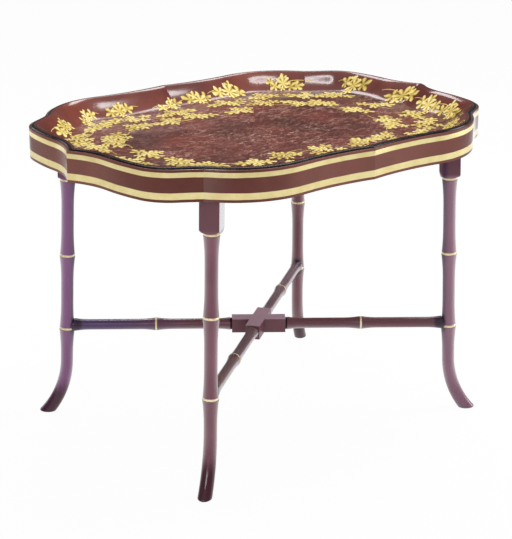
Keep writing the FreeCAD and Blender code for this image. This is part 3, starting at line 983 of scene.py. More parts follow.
@dataclass
class Plan:
    """Plan of the apron's outer face: tangent arcs, one quarter of the outline."""

    end_tip: float = 0.375
    end_tip_slant: float = 33.0
    end_hollow_radius: float = 0.130
    end_side_radius: float = 0.330
    shoulder_radius: float = 0.070
    shoulder_drop: float = 0.1459
    notch_radius: float = 0.150
    notch_crease_share: float = 0.66
    notch_crease_depth: float = 0.0012
    notch_hollow_radius: float = 0.400
    side_tip: float = 0.273
    side_tip_slant: float = 9.7
    side_hollow_radius: float = 0.475
    side_bow_radius: float = 0.144
    side_bow_setback: float = 0.2163
    step: float = 0.0055
    fewest_steps: int = 3

    def __post_init__(self) -> None:
        """Work out the arcs' centres."""
        end, side = Vector((self.end_tip, 0, 0)), Vector((0, self.side_tip, 0))
        self.end_hollow = polar(end, self.end_hollow_radius, self.end_tip_slant)
        self.end_side = self.end_hollow - Vector((self.end_hollow_radius + self.end_side_radius, 0, 0))
        reach = self.end_side_radius - self.shoulder_radius
        rise = self.side_tip - self.shoulder_drop - self.end_hollow.y
        self.end_turn = math.degrees(math.asin(rise / reach))
        self.shoulder = polar(self.end_side, reach, self.end_turn)
        self.side_hollow = polar(side, self.side_hollow_radius, 90 - self.side_tip_slant)
        reach = self.side_hollow_radius + self.side_bow_radius
        shift = self.end_tip - self.side_bow_setback - self.side_hollow.x
        self.bow_start = 90 + math.degrees(math.asin(shift / reach))
        self.bow = polar(self.side_hollow, reach, self.bow_start - 180)
        self._place_notch()

    def _place_notch(self) -> None:
        """Work out the hollows that run into a notch's crease, and where they start."""
        shoulder, bow, hollow = self.shoulder_radius, self.side_bow_radius, self.notch_hollow_radius
        notch = self.notch_radius
        around = meeting(self.shoulder, shoulder + notch, self.bow, bow + notch, -1)
        start, end = bearing(self.shoulder, around), bearing(self.bow, around)
        turn = 180 + start + (end - start) * self.notch_crease_share
        crease = polar(around, notch + self.notch_crease_depth, turn)
        self.end_notch = meeting(self.shoulder, shoulder + hollow, crease, hollow, -1)
        self.side_notch = meeting(self.bow, bow + hollow, crease, hollow, 1)
        self.shoulder_end = bearing(self.shoulder, self.end_notch)
        self.bow_end = bearing(self.bow, self.side_notch)

    def _crease(self, centre: Vector, radius: float) -> float:
        """Angle about a notch hollow's centre at which hollows of a radius meet in the crease."""
        crease = meeting(self.end_notch, radius, self.side_notch, radius, -1)
        return 180 + bearing(crease, centre)

    def end_lobe(self, inset: float) -> list[PlanArc]:
        """Arcs from the point of an end to the crease of a notch, moved inwards."""
        tip, notch = self.end_hollow_radius + inset, self.notch_hollow_radius + inset
        tip_turn = math.degrees(math.asin(self.end_hollow.y / tip))
        crease = self._crease(self.end_notch, notch)
        return [
            PlanArc(self.end_hollow, tip, 180 + tip_turn, 180),
            PlanArc(self.end_side, self.end_side_radius - inset, 0, self.end_turn),
            PlanArc(self.shoulder, self.shoulder_radius - inset, self.end_turn, self.shoulder_end),
            PlanArc(self.end_notch, notch, 180 + self.shoulder_end, crease),
        ]

    def side_lobe(self, inset: float) -> list[PlanArc]:
        """Arcs from the crease of a notch to the point of a long side, moved inwards."""
        tip, notch = self.side_hollow_radius + inset, self.notch_hollow_radius + inset
        tip_turn = math.degrees(math.asin(self.side_hollow.x / tip))
        crease = self._crease(self.side_notch, notch)
        return [
            PlanArc(self.side_notch, notch, crease, 180 + self.bow_end),
            PlanArc(self.bow, self.side_bow_radius - inset, self.bow_end, self.bow_start),
            PlanArc(self.side_hollow, tip, self.bow_start - 180, -90 - tip_turn),
        ]

    def quarter(self, inset: float) -> list[PlanArc]:
        """Arcs from the point of an end to the point of a long side, moved inwards."""
        return self.end_lobe(inset) + self.side_lobe(inset)

    def steps(self, lobe: Lobe) -> list[int]:
        """Steps of each arc of a lobe, from the outer face so that all insets match."""
        return [max(self.fewest_steps, round(arc.length() / self.step)) for arc in lobe(0.0)]

    def arrises(self) -> set[int]:
        """Steps along a quarter at which the outline keeps a sharp crease."""
        return {sum(self.steps(self.end_lobe)), sum(self.steps(self.quarter))}

    def chain(self, bm: Shape, lobe: Lobe, inset: float, height: float) -> list[Vert]:
        """Spin a vertex along a run of arcs.

        Args:
            bm: the bmesh that takes the edges.
            lobe: gives the arcs, which follow on each other.
            inset: distance inside the apron's outer face.
            height: height of the run.

        Returns:
            The first and the last vertex.
        """
        level = Vector((0, 0, height))
        arcs = lobe(inset)
        first = last = bm.verts.new(arcs[0].point(0.0) + level)
        for arc, steps in zip(arcs, self.steps(lobe)):
            spun = bmesh.ops.spin(
                bm,
                geom=[last],
                cent=arc.centre + level,
                axis=(0, 0, 1),
                angle=math.radians(arc.end - arc.start),
                steps=steps,
                use_merge=False,
            )
            last = verts_of(spun["geom_last"])[0]
        return [first, last]

    def points(self, inset: float) -> list[Vector]:
        """Points of a quarter of the outline in the order in which chain makes them."""
        arcs = self.quarter(inset)
        pairs = zip(arcs, self.steps(self.quarter))
        inner = [arc.point(step / steps) for arc, steps in pairs for step in range(steps)]
        return inner + [arcs[-1].point(1.0)]

    def sweep(self, bm: Shape, stations: Sequence[Pair]) -> None:
        """Carry the outline through stations, all the way round.

        Args:
            bm: an empty bmesh that takes the faces.
            stations: insets and heights, in order.
        """
        mark = bm.verts.layers.int.new(OUTLINE_STEP)
        last = self.chain(bm, self.quarter, *stations[0])[0]
        seen = {last}
        for index in range(1, len(bm.verts)):
            last = next(other for e in last.link_edges if (other := e.other_vert(last)) not in seen)
            last[mark] = index
            seen.add(last)
        row = bm.edges[:]
        for inset, height in stations[1:]:
            points = self.points(inset)
            grown = bmesh.ops.extrude_edge_only(bm, edges=row)["geom"]
            fresh = set(verts_of(grown))
            for vert in fresh:
                vert.co = points[vert[mark]] + Vector((0, 0, height))
            row = [e for e in grown if isinstance(e, bmesh.types.BMEdge) and set(e.verts) <= fresh]
        for axis in "XY":
            geom = bm.verts[:] + bm.edges[:] + bm.faces[:]
            bmesh.ops.mirror(bm, geom=geom, matrix=Matrix.Identity(4), merge_dist=TOUCH, axis=axis)
        bmesh.ops.remove_doubles(bm, verts=bm.verts[:], dist=TOUCH)

    def spot(self, around: float, inset: float) -> Vector:
        """Point on the outline, moved inwards.

        Args:
            around: quarters of the way round, from the point of the right end.
            inset: distance inside the apron's outer face.

        Returns:
            The point, at height 0.
        """
        around %= 4.0
        turn = int(around)
        share = around - turn
        if turn % 2:
            share = 1.0 - share
        lengths = [arc.length() for arc in self.quarter(0.0)]
        left = share * sum(lengths)
        index = 0
        while index < len(lengths) - 1 and left > lengths[index]:
            left -= lengths[index]
            index += 1
        point = self.quarter(inset)[index].point(min(1.0, left / lengths[index]))
        sign_x = 1 if turn in (0, 3) else -1
        sign_y = 1 if turn in (0, 1) else -1
        return Vector((sign_x * point.x, sign_y * point.y, 0.0))

    def quarter_length(self) -> float:
        """Length of a quarter of the outline."""
        return sum(arc.length() for arc in self.quarter(0.0))


@dataclass
class LacquerTray:
    """Loose tray: flat floor, coved and flared wall, rolled edge with a black outside."""

    plan: Plan
    floor_height: float = 0.490
    floor_inset: float = 0.044
    thickness: float = 0.004
    cove_inset: float = 0.0540
    cove_reach: float = 0.0150
    lip_height: float = 0.5195
    lip_inset: float = 0.0115
    lip_slope: float = 22.0
    lip_reach: float = 0.0100
    lip_return: Pair = (0.0012, 0.0015)
    back_offset: float = 0.0016
    wall_length: float = 0.0540
    edge_inset: float = 0.00745
    edge_half_width: float = 0.00405
    edge_base: float = 0.5172
    edge_top: float = 0.5198
    edge_fullness: float = 0.8
    wall_steps: int = 16
    edge_steps: int = 8
    black_start: float = 76.0
    edge_end: float = 180.0

    def wall_curve(self, share: float) -> tuple[Vector, Vector]:
        """Place and direction on the wall's inner face, seen in section.

        Args:
            share: 0 where the cove leaves the floor and 1 at the lip.

        Returns:
            Inset and height, and the unit direction up the wall.
        """
        lip = math.radians(self.lip_slope)
        foot = Vector((self.cove_inset, self.floor_height))
        top = Vector((self.lip_inset, self.lip_height))
        out = foot - Vector((self.cove_reach, 0.0))
        back = top + Vector((math.cos(lip), -math.sin(lip))) * self.lip_reach
        rest = 1.0 - share
        place = foot * rest**3 + out * (3 * rest**2 * share) + back * (3 * rest * share**2) + top * share**3
        run = (out - foot) * rest**2 + (back - out) * (2 * rest * share) + (top - back) * share**2
        return place, run.normalized()

    def wall_point(self, around: float, up: float, lift: float) -> Vector:
        """Point on the wall's inner face.

        Args:
            around: quarters of the way round, from the point of the right end.
            up: distance up the wall from the floor, below 0 on the floor itself.
            lift: distance off the face.

        Returns:
            The point.
        """
        place, run = self.wall_curve(min(1.0, max(0.0, up / self.wall_length)))
        over_floor = max(0.0, -up)
        point = self.plan.spot(around, place.x + over_floor + run.y * lift)
        point.z = place.y - run.x * lift
        return point

    def profile(self) -> list[Pair]:
        """Insets and heights up the wall from the floor, over the lip and down the outside."""
        faces = [self.wall_curve(step / self.wall_steps)[0] for step in range(self.wall_steps + 1)]
        stations = [(place.x, place.y) for place in faces]
        back, down = self.lip_return
        stations.append((self.lip_inset, self.edge_base))
        stations.append((self.lip_inset + back, self.edge_base - down))
        stations.append((self.floor_inset - self.back_offset, self.floor_height - self.thickness))
        return stations

    def build_shell(self) -> None:
        """Floor, cove, wall and underside as one closed shell."""
        bm = bmesh.new()
        stations = self.profile()
        self.plan.sweep(bm, stations)
        for _, level in (stations[0], stations[-1]):
            rim = [e for e in bm.edges if e.is_boundary and abs(e.verts[0].co.z - level) < TOUCH]
            bmesh.ops.contextual_create(bm, geom=rim)
        sharp = self.plan.arrises()
        finish_mesh("tray_shell", bm, OxbloodLacquer(), Slot.TRAY_LACQUER, TRAY, ["tray"], sharp)

    def bead(self, start: float, end: float) -> list[Pair]:
        """Closed section of a part of the rolled edge.

        Args:
            start: angle in degrees from the inner side at which the part starts.
            end: angle at which it ends.

        Returns:
            Insets and heights round the section.
        """
        rise = self.edge_top - self.edge_base
        stations = []
        for step in range(self.edge_steps + 1):
            angle = math.radians(start + (end - start) * step / self.edge_steps)
            inset = self.edge_inset + self.edge_half_width * math.cos(angle)
            level = max(0.0, math.sin(angle)) ** self.edge_fullness
            stations.append((inset, self.edge_base + rise * level))
        stations.append((self.edge_inset, self.edge_base))
        stations.append(stations[0])
        return stations

    def build_edge(self) -> None:
        """Rolled edge as two closed beads, red inside and black outside."""
        for name, start, end, finish, slot in (
            ("tray_edge_inner", 0.0, self.black_start, OxbloodLacquer(), Slot.TRAY_LACQUER),
            ("tray_edge", self.black_start, self.edge_end, BlackLacquer(), Slot.BLACK_EDGE),
        ):
            bm = bmesh.new()
            self.plan.sweep(bm, self.bead(start, end))
            finish_mesh(name, bm, finish, slot, TRAY, arrises=self.plan.arrises())

    def build(self) -> None:
        """Build the tray's pieces."""
        self.build_shell()
        self.build_edge()


Spread = Callable[[float, float, float], Vector]


@dataclass(frozen=True)
class WallBunch:
    """Place of a bunch on the wall: share of a quarter, height up the wall, pairs of side leaves, size."""

    place: float
    up: float
    pairs: int = 1
    size: float = 1.0


@dataclass(frozen=True)
class FloorBorder:
    """One row of bunches on the floor.

    It holds shares of a quarter and how far they stray, the depth from the floor's edge, the
    flatness of a bunch, and the numbers of pairs of side leaves to draw from.
    """

    places: tuple[float, ...]
    stray: float
    depth: Pair
    flat: float
    pairs: tuple[int, ...]


@dataclass
class Foliage:
    """Gilt bunches of lobed leaves on the tray's wall and in two borders on its floor.

    Lengths in a leaf and in a bunch are shares of the leaf's size. A bunch has side leaves, a
    cap leaf above and below its middle, and the main leaf over them.
    """

    tray: LacquerTray
    seed: int = 11
    lobe_steps: int = 6
    stem_steps: int = 8
    side_lobes: int = 5
    main_lobes: int = 7
    lobe_fullness: float = 0.75
    lobe_base: float = 0.50
    lobe_reach: float = 0.52
    back_length: float = 0.84
    hollow_tone: float = 0.05
    side_start: float = 0.20
    side_step: float = 0.72
    side_stray: float = 0.15
    side_depth: float = 0.75
    side_turn: float = 0.5
    side_size: Pair = (0.74, 0.92)
    cap_stray: float = 0.5
    cap_depth: Pair = (0.9, 1.2)
    cap_turn: Pair = (1.0, 2.0)
    cap_size: Pair = (0.5, 0.66)
    main_turn: Pair = (0.8, 2.3)
    main_size: Pair = (0.85, 1.05)
    relief: float = 0.00022
    layer: float = 0.00009
    sunk: float = 0.0002
    stem_relief: float = 0.8
    stem_width: float = 0.0016
    stem_taper: Pair = (1.15, 0.6)
    stem_reach: Pair = (1.6, 0.7)
    stem_rise: float = 0.5
    stem_bow: float = 0.3
    stem_tone: float = 0.70
    heart_tone: float = 0.62
    heart_swell: float = 1.3
    leaf_bright: Pair = (0.76, 1.04)
    layer_bright: float = 0.03
    ragged: Pair = (0.84, 1.16)
    wall_leaf: float = 0.0165
    floor_leaf: float = 0.0190
    wall_flat: float = 0.50
    wall_stray: float = 0.010
    wall_rise: float = 0.001
    wall_bunches: tuple[tuple[WallBunch, ...], ...] = (
        (
            WallBunch(0.02, 0.023, 1, 1.25), WallBunch(0.24, 0.023, 1, 1.30),
            WallBunch(0.53, 0.023, 2, 1.15), WallBunch(0.78, 0.019, 1, 1.20), WallBunch(0.91, 0.012),
        ),
        (
            WallBunch(0.03, 0.010), WallBunch(0.20, 0.017), WallBunch(0.35, 0.015),
            WallBunch(0.56, 0.022), WallBunch(0.80, 0.024),
        ),
        (
            WallBunch(0.10, 0.024), WallBunch(0.30, 0.020, 2), WallBunch(0.52, 0.024),
            WallBunch(0.75, 0.018), WallBunch(0.92, 0.022),
        ),
        (
            WallBunch(0.12, 0.022), WallBunch(0.33, 0.024, 2), WallBunch(0.54, 0.020),
            WallBunch(0.75, 0.023, 1, 1.25), WallBunch(0.87, 0.022, 1, 1.20),
        ),
    )
    borders: tuple[FloorBorder, ...] = (
        FloorBorder((0.06, 0.25, 0.45, 0.64, 0.83), 0.02, (0.030, 0.042), 0.80, (1, 1, 2)),
        FloorBorder((0.02, 0.22, 0.42, 0.62, 0.80), 0.03, (0.078, 0.100), 0.70, (1,)),
    )

    def __post_init__(self) -> None:
        """Start the seeded draws."""
        self.draw = random.Random(self.seed)

    def skirted(self, bm: Shape, patch: Sequence[Vert], lift: float) -> list[tuple[Vert, float]]:
        """Grow a skirt from the rim of a patch.

        Args:
            bm: the bmesh of the foliage.
            patch: the patch's vertices.
            lift: distance of the patch off the tray.

        Returns:
            All vertices with their distances off the tray.
        """
        rim = list({edge for vert in patch for edge in vert.link_edges if edge.is_boundary})
        skirt = verts_of(bmesh.ops.extrude_edge_only(bm, edges=rim)["geom"])
        return [(vert, lift) for vert in patch] + [(vert, -self.sunk) for vert in skirt]

    def leaf(
        self, bm: Shape, spread: Spread, at: Pair, turn: float, size: float, layer: int, lobes: int
    ) -> None:
        """Add one leaf.

        Args:
            bm: the bmesh of the foliage.
            spread: maps across, along and off the face to a point of the tray.
            at: the leaf's middle on the face.
            turn: direction of its axis on the face.
            size: its length from the middle.
            layer: how many leaves lie under it.
            lobes: number of its lobes.
        """
        segments = lobes * self.lobe_steps
        tone = bm.verts.layers.float[LEAF_TONE]
        made = bmesh.ops.create_circle(bm, cap_ends=True, cap_tris=True, segments=segments, radius=1.0)
        bright = self.draw.uniform(*self.leaf_bright) + self.layer_bright * layer
        ragged = [self.draw.uniform(*self.ragged) for _ in range(segments)]
        for vert, off in self.skirted(bm, made["verts"], self.relief + self.layer * layer):
            angle = math.atan2(vert.co.y, vert.co.x)
            inner = vert.co.xy.length < 0.5
            slot = round(angle / (2 * math.pi) * segments) % segments
            phase = lobes * angle / (2 * math.pi)
            lobe = (1 - 2 * abs(phase - round(phase))) ** self.lobe_fullness
            length = self.back_length + (1 - self.back_length) * math.cos(angle)
            reach = (self.lobe_base + self.lobe_reach * lobe) * length * size * ragged[slot]
            radius = 0.0 if inner else reach
            vert[tone] = bright * (self.heart_tone if inner else self.hollow_tone + lobe)
            vert.co = spread(
                at[0] + radius * math.cos(angle + turn),
                at[1] + radius * math.sin(angle + turn),
                off * (self.heart_swell if inner else 1.0),
            )

    def stem(self, bm: Shape, spread: Spread, start: Pair, end: Pair, bow: float) -> None:
        """Add one thin bowed stem.

        Args:
            bm: the bmesh of the foliage.
            spread: maps across, along and off the face to a point of the tray.
            start: first end on the face.
            end: second end on the face.
            bow: how far the middle stands aside.
        """
        tone = bm.verts.layers.float[LEAF_TONE]
        made = bmesh.ops.create_grid(bm, x_segments=self.stem_steps, y_segments=1, size=0.5)
        run = Vector((end[0] - start[0], end[1] - start[1]))
        side = Vector((-run.y, run.x)).normalized()
        wide, taper = self.stem_taper
        for vert, off in self.skirted(bm, made["verts"], self.relief * self.stem_relief):
            share = vert.co.x + 0.5
            width = self.stem_width * (wide - taper * share) * vert.co.y
            place = Vector(start) + run * share + side * (bow * 4 * share * (1 - share) + width)
            vert[tone] = self.stem_tone
            vert.co = spread(place.x, place.y, off)

    def bunch(self, bm: Shape, spread: Spread, size: float, flat: float, pairs: int) -> None:
        """Add a bunch: one large leaf, smaller leaves on both sides of it and a trailing stem.

        Args:
            bm: the bmesh of the foliage.
            spread: maps across, along and off the face to a point of the tray.
            size: size of the large leaf.
            flat: share of the bunch's depth along the face that is kept.
            pairs: number of smaller leaves on each side.
        """
        draw = self.draw
        hand = draw.choice((-1, 1))
        near, step = self.stem_reach
        stem_end = (hand * size * (near + step * pairs), size * flat * self.stem_rise)
        self.stem(bm, spread, (0.0, 0.0), stem_end, hand * size * self.stem_bow)
        layer = 1
        for pair in range(pairs, 0, -1):
            for side in (-1, 1):
                stray = draw.uniform(-self.side_stray, self.side_stray)
                depth = draw.uniform(-self.side_depth, self.side_depth)
                at = (
                    side * size * (self.side_start + self.side_step * pair + stray),
                    size * flat * depth / pair**0.5,
                )
                turn = math.atan2(at[1], at[0]) + draw.uniform(-self.side_turn, self.side_turn)
                small = size * draw.uniform(*self.side_size) / (0.75 + 0.25 * pair)
                self.leaf(bm, spread, at, turn, small, layer, self.side_lobes)
                layer += 1
        for side in (-1, 1):
            stray = draw.uniform(-self.cap_stray, self.cap_stray)
            at = (size * stray, side * size * flat * draw.uniform(*self.cap_depth))
            turn = side * draw.uniform(*self.cap_turn)
            small = size * draw.uniform(*self.cap_size)
            self.leaf(bm, spread, at, turn, small, layer, self.side_lobes)
            layer += 1
        turn = draw.uniform(*self.main_turn)
        large = size * draw.uniform(*self.main_size)
        self.leaf(bm, spread, (0.0, 0.0), turn, large, layer, self.main_lobes)

    def on_wall(self, around: float, up: float) -> Spread:
        """Spread of a face that follows the wall about a place on it."""
        quarter = self.tray.plan.quarter_length()
        return lambda across, along, off: self.tray.wall_point(around + across / quarter, up + along, off)

    def on_floor(self, around: float, depth: float) -> Spread:
        """Spread of a level face on the floor, turned along the outline.

        Args:
            around: quarters of the way round, from the point of the right end.
            depth: distance towards the table's centre from the floor's edge.

        Returns:
            The map from the face to the floor.
        """
        plan = self.tray.plan
        edge = plan.spot(around, self.tray.floor_inset)
        ahead = (plan.spot(around + 0.01, self.tray.floor_inset) - edge).normalized()
        inwards = Vector((-ahead.y, ahead.x, 0.0))
        middle = edge - edge.normalized() * depth
        level = self.tray.floor_height

        def spread(across: float, along: float, off: float) -> Vector:
            """Point of the floor."""
            point = middle + ahead * across + inwards * along
            point.z = level + off
            return point

        return spread

    def build_wall(self, bm: Shape, quarter: int) -> None:
        """Add the bunches on a quarter of the wall."""
        for bunch in self.wall_bunches[quarter]:
            around = quarter + bunch.place + self.draw.uniform(-self.wall_stray, self.wall_stray)
            spread = self.on_wall(around, bunch.up + self.draw.uniform(-self.wall_rise, self.wall_rise))
            self.bunch(bm, spread, self.wall_leaf * bunch.size, self.wall_flat, bunch.pairs)

    def build_border(self, bm: Shape, quarter: int, border: FloorBorder) -> None:
        """Add a quarter of a border on the floor."""
        for place in border.places:
            around = quarter + place + self.draw.uniform(-border.stray, border.stray)
            spread = self.on_floor(around, self.draw.uniform(*border.depth))
            pairs = self.draw.choice(border.pairs) if len(border.pairs) > 1 else border.pairs[0]
            self.bunch(bm, spread, self.floor_leaf, border.flat, pairs)

    def build(self) -> None:
        """Build the foliage of the wall and of the floor."""
        wall, floor = bmesh.new(), bmesh.new()
        for bm in (wall, floor):
            bm.verts.layers.float.new(LEAF_TONE)
        for quarter in range(4):
            self.build_wall(wall, quarter)
            for border in self.borders:
                self.build_border(floor, quarter, border)
        finish_mesh("wall_foliage", wall, LeafGilding(), Slot.GILDING, TRAY)
        finish_mesh("floor_foliage", floor, LeafGilding(), Slot.GILDING, TRAY)


class Corner(Enum):
    """Corners of the table as signs along X and Y."""

    FRONT_LEFT = (-1, -1)
    FRONT_RIGHT = (1, -1)
    BACK_LEFT = (-1, 1)
    BACK_RIGHT = (1, 1)

    @property
    def words(self) -> str:
        """Name of the corner as it stands in the solids' names."""
        return self.name.lower()


@dataclass
class ApronPiece:
    """One shaped apron piece with eased arrises."""

    plan: Plan
    corner: Corner
    on_end: bool
    bottom: float = 0.468
    top: float = 0.517
    thickness: float = 0.008
    arris: float = 0.0007
    arris_steps: int = 2

    def node(self) -> str:
        """Name of the solid that the piece stands for."""
        depth, side = self.corner.words.split("_")
        return f"apron_{side}_{depth}" if self.on_end else f"apron_{depth}_{side}"

    def build(self) -> None:
        """Build the piece from its plan, extruded and eased."""
        lobe = self.plan.end_lobe if self.on_end else self.plan.side_lobe
        bm = bmesh.new()
        outer = self.plan.chain(bm, lobe, 0.0, self.bottom)
        inner = self.plan.chain(bm, lobe, self.thickness, self.bottom)
        for one, other in zip(outer, inner):
            bm.edges.new((one, other))
        face = bmesh.ops.contextual_create(bm, geom=bm.edges[:])["faces"]
        grown = bmesh.ops.extrude_face_region(bm, geom=face, use_keep_orig=True)
        bmesh.ops.translate(bm, verts=verts_of(grown["geom"]), vec=(0, 0, self.top - self.bottom))
        bmesh.ops.recalc_face_normals(bm, faces=bm.faces[:])
        level = [e for e in bm.edges if abs(e.verts[0].co.z - e.verts[1].co.z) < TOUCH]
        bmesh.ops.bevel(
            bm,
            geom=level,
            offset=self.arris,
            segments=self.arris_steps,
            profile=0.5,
            affect="EDGES",
            material=-1,
        )
        bmesh.ops.scale(bm, vec=(*self.corner.value, 1), verts=bm.verts[:])
        node = self.node()
        finish_mesh(f"{node}_painted", bm, BandedPaint(), Slot.PAINTED_WOOD, STAND, [node])


@dataclass(frozen=True)
class RingKind:
    """One kind of ring: radius of the turning under it, width, places along the axis, finish."""

    name: str
    radius: float
    width: float
    places: tuple[float, ...]
    finish: Finish = RingGilding()
    slot: Slot = Slot.GILDING


@dataclass
class TurnedRings:
    """Gilt rings in the joints of the legs and rails, and dark rings of painted shade in the rails' necks.
    """

    leg_x: float = 0.250
    leg_y: float = 0.191
    leg_rake: float = 1.9
    top_ring: float = 0.410
    rail_height: float = 0.156
    proud: float = 0.0010
    section_steps: int = 14
    turn_steps: int = 56
    leg_rings: RingKind = RingKind("leg_rings", 0.0117, 0.0050, (0.0, -0.130, -0.259))
    rail_rings: tuple[RingKind, ...] = (
        RingKind("rail_ring", 0.0099, 0.0054, (0.173,)),
        RingKind("rail_neck", 0.0092, 0.0036, (0.0465,), DarkLine(), Slot.PAINTED_WOOD),
    )

    def bead(self, bm: Shape, kind: RingKind, place: Matrix) -> None:
        """Add one rounded ring about the Z axis, then put it in its place.

        Args:
            bm: the bmesh of the rings.
            kind: the ring's sizes.
            place: where it goes.
        """
        old = set(bm.verts)
        start = bmesh.ops.create_circle(bm, segments=self.section_steps, radius=1.0)["verts"]
        bmesh.ops.rotate(bm, verts=start, cent=(0, 0, 0), matrix=Matrix.Rotation(math.pi / 2, 3, "X"))
        bmesh.ops.scale(bm, verts=start, vec=(self.proud * 2, 1, kind.width / 2))
        bmesh.ops.translate(bm, verts=start, vec=(kind.radius - self.proud, 0, 0))
        edges = list({edge for vert in start for edge in vert.link_edges})
        bmesh.ops.spin(
            bm,
            geom=start + edges,
            cent=(0, 0, 0),
            axis=(0, 0, 1),
            angle=2 * math.pi,
            steps=self.turn_steps,
            use_merge=True,
        )
        bmesh.ops.remove_doubles(bm, verts=[vert for vert in bm.verts if vert not in old], dist=TOUCH)
        bmesh.ops.transform(bm, matrix=place, verts=[vert for vert in bm.verts if vert not in old])

    def build_kind(self, kind: RingKind, corner: Corner, axis: Matrix) -> None:
        """Build one corner's rings of a kind along an axis."""
        bm = bmesh.new()
        for place in kind.places:
            self.bead(bm, kind, axis @ Matrix.Translation((0, 0, place)))
        finish_mesh(f"{kind.name}_{corner.words}", bm, kind.finish, kind.slot, STAND)

    def build(self) -> None:
        """Build the rings of the legs and of the rails."""
        reach = math.hypot(self.leg_x, self.leg_y)
        for corner in Corner:
            sign_x, sign_y = corner.value
            turn = Matrix.Rotation(math.atan2(sign_y * self.leg_y, sign_x * self.leg_x), 4, "Z")
            rake = Matrix.Rotation(math.radians(-self.leg_rake), 4, "Y")
            self.build_kind(
                self.leg_rings, corner, turn @ Matrix.Translation((reach, 0, self.top_ring)) @ rake
            )
            level = Matrix.Translation((0, 0, self.rail_height))
            for kind in self.rail_rings:
                self.build_kind(kind, corner, level @ turn @ Matrix.Rotation(math.pi / 2, 4, "Y"))


@dataclass
class CarriedSolids:
    """Solids that keep their own shape and get a finish; legs, rails and the knob are painted."""

    wooden: tuple[str, ...] = ("corner_block_", "tip_block_", "bearer_")
    steel: tuple[str, ...] = ("bearer_screws", "leg_screws")
    felt: tuple[str, ...] = ("tray_pads",)

    def dress(self, nodes: dict[str, bpy.types.Object]) -> None:
        """Give each shown solid its finish.

        Args:
            nodes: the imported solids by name.
        """
        for name, node in nodes.items():
            if node.hide_render:
                continue
            finish = self.finish_of(name)
            node.data.materials.clear()
            node.data.materials.append(finish.material())
            log.info("%s: %s", name, finish.name)

    def finish_of(self, name: str) -> Finish:
        """Finish of a solid by its name."""
        if name in self.steel:
            return PlainSteel()
        if name in self.felt:
            return GreenFelt()
        if name.startswith(self.wooden):
            return PlanedWood()
        return MauvePaint()


@dataclass(frozen=True)
class SoftLamp:
    """A rectangular area lamp."""

    name: str
    place: Triple
    aim: Triple
    width: float
    height: float
    power: float

    def build(self) -> None:
        """Hang the lamp and aim it."""
        lamp = bpy.data.lights.new(self.name, "AREA")
        lamp.shape = "RECTANGLE"
        lamp.size = self.width
        lamp.size_y = self.height
        lamp.energy = self.power
        holder = bpy.data.objects.new(self.name, lamp)
        holder.location = self.place
        towards = Vector(self.aim) - Vector(self.place)
        holder.rotation_euler = towards.to_track_quat("-Z", "Y").to_euler()
        bpy.context.scene.collection.objects.link(holder)


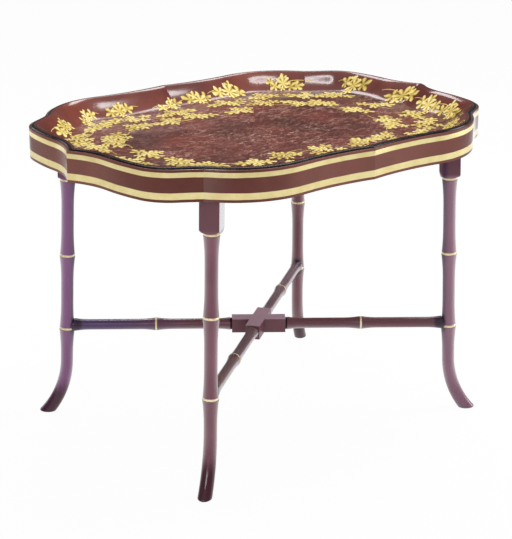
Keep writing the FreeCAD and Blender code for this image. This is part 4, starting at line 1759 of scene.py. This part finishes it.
@dataclass
class Studio:
    """White floor, even surroundings, soft lamps and the camera."""

    lens: float = 113.34
    sensor: float = 36.0
    distance: float = 2.6944
    eye_height: float = 1.1589
    azimuth: float = -39.754
    pan: float = 0.1042
    pitch: float = 18.6056
    roll: float = 0.3888
    ambient: float = 0.66
    mirrored_low: float = 0.12
    mirrored_high: float = 0.75
    mirrored_rise: Pair = (0.55, 0.95)
    floor_glow: float = 0.95
    floor_half: float = 40.0
    floor_colour: Colour = (0.86, 0.86, 0.86)
    lamps: tuple[SoftLamp, ...] = (
        SoftLamp("side_left", (-0.70, 2.30, 0.90), (0.0, 0.0, 0.3), 1.2, 1.6, 9.0),
        SoftLamp("front_fill", (-2.00, -1.70, 1.50), (0.0, 0.0, 0.4), 0.35, 0.90, 14.0),
        SoftLamp("side_right", (2.00, -0.95, 1.10), (0.0, 0.0, 0.4), 1.0, 1.4, 27.0),
        SoftLamp("overhead", (0.68, -0.24, 2.40), (0.6813, -0.2301, 0.5), 1.05, 0.10, 6.0),
        SoftLamp("back_top", (0.90, 1.10, 2.00), (0.0, 0.0, 0.5), 1.4, 0.4, 14.0),
    )

    def build_floor(self) -> None:
        """Wide white floor that keeps a faint shadow."""
        bm = bmesh.new()
        bmesh.ops.create_grid(bm, x_segments=1, y_segments=1, size=self.floor_half)
        mesh = bpy.data.meshes.new("studio_floor")
        bm.to_mesh(mesh)
        bm.free()
        material = bpy.data.materials.new("studio_white")
        material.use_nodes = True
        graph = Graph(material.node_tree)
        matt = graph.node("ShaderNodeBsdfDiffuse", inputs={"Color": self.floor_colour})
        glow = graph.node("ShaderNodeEmission", inputs={"Color": (1, 1, 1), "Strength": 1.0})
        share = self.seen(graph) * self.floor_glow
        both = graph.node("ShaderNodeMixShader", inputs={0: share, 1: matt, 2: glow})
        graph.close("ShaderNodeOutputMaterial", both)
        mesh.materials.append(material)
        floor = bpy.data.objects.new("studio_floor", mesh)
        bpy.context.scene.collection.objects.link(floor)

    @staticmethod
    def ray(graph: Graph, kind: str) -> Value:
        """1 on rays of a kind."""
        return graph.node("ShaderNodeLightPath", output=f"Is {kind} Ray")

    def seen(self, graph: Graph) -> Value:
        """1 for what the camera sees directly, in a mirror or through glass."""
        camera, mirror, through = (self.ray(graph, kind) for kind in ("Camera", "Glossy", "Transmission"))
        return graph.math("MINIMUM", camera + mirror + through, 1.0)

    def build_surroundings(self) -> None:
        """White surroundings that light the table evenly."""
        world = bpy.data.worlds.new("studio")
        world.use_nodes = True
        graph = Graph(world.node_tree)
        camera, mirror = self.ray(graph, "Camera"), self.ray(graph, "Glossy")
        towards = graph.node("ShaderNodeTexCoord", output="Generated")
        up = graph.node("ShaderNodeSeparateXYZ", inputs={0: towards}, output="Z")
        span = self.mirrored_high - self.mirrored_low
        mirrored = self.mirrored_low + up.rise(*self.mirrored_rise) * span
        strength = self.ambient + camera * (1.0 - self.ambient) + mirror * (mirrored - self.ambient)
        back = graph.node("ShaderNodeBackground", inputs={"Color": (1, 1, 1), "Strength": strength})
        graph.close("ShaderNodeOutputWorld", back)
        bpy.context.scene.world = world

    def build_camera(self) -> None:
        """Camera at the photograph's viewing angle."""
        azimuth, pitch, roll = (math.radians(angle) for angle in (self.azimuth, self.pitch, self.roll))
        side, depth = self.distance * math.sin(azimuth), -self.distance * math.cos(azimuth)
        facing = Matrix.Rotation(azimuth + math.radians(self.pan), 4, "Z")
        tilt = Matrix.Rotation(math.pi / 2 - pitch, 4, "X") @ Matrix.Rotation(roll, 4, "Z")
        camera = bpy.data.cameras.new("photo_camera")
        camera.lens = self.lens
        camera.sensor_width = self.sensor
        camera.sensor_fit = "AUTO"
        holder = bpy.data.objects.new("photo_camera", camera)
        holder.matrix_world = Matrix.Translation((side, depth, self.eye_height)) @ facing @ tilt
        bpy.context.scene.collection.objects.link(holder)
        bpy.context.scene.camera = holder

    def build(self) -> None:
        """Build the studio."""
        bpy.context.scene.view_settings.view_transform = "Standard"
        self.build_floor()
        self.build_surroundings()
        for lamp in self.lamps:
            lamp.build()
        self.build_camera()


def main() -> None:
    """Build the table's pieces in order, then the studio."""
    logging.basicConfig(level=logging.INFO, format="%(message)s")
    plan = Plan()
    tray = LacquerTray(plan)
    tray.build()
    Foliage(tray).build()
    for corner in Corner:
        for on_end in (True, False):
            ApronPiece(plan, corner, on_end).build()
    TurnedRings().build()
    CarriedSolids().dress(frame["nodes"])
    Studio().build()


if __name__ == "__main__":
    main()
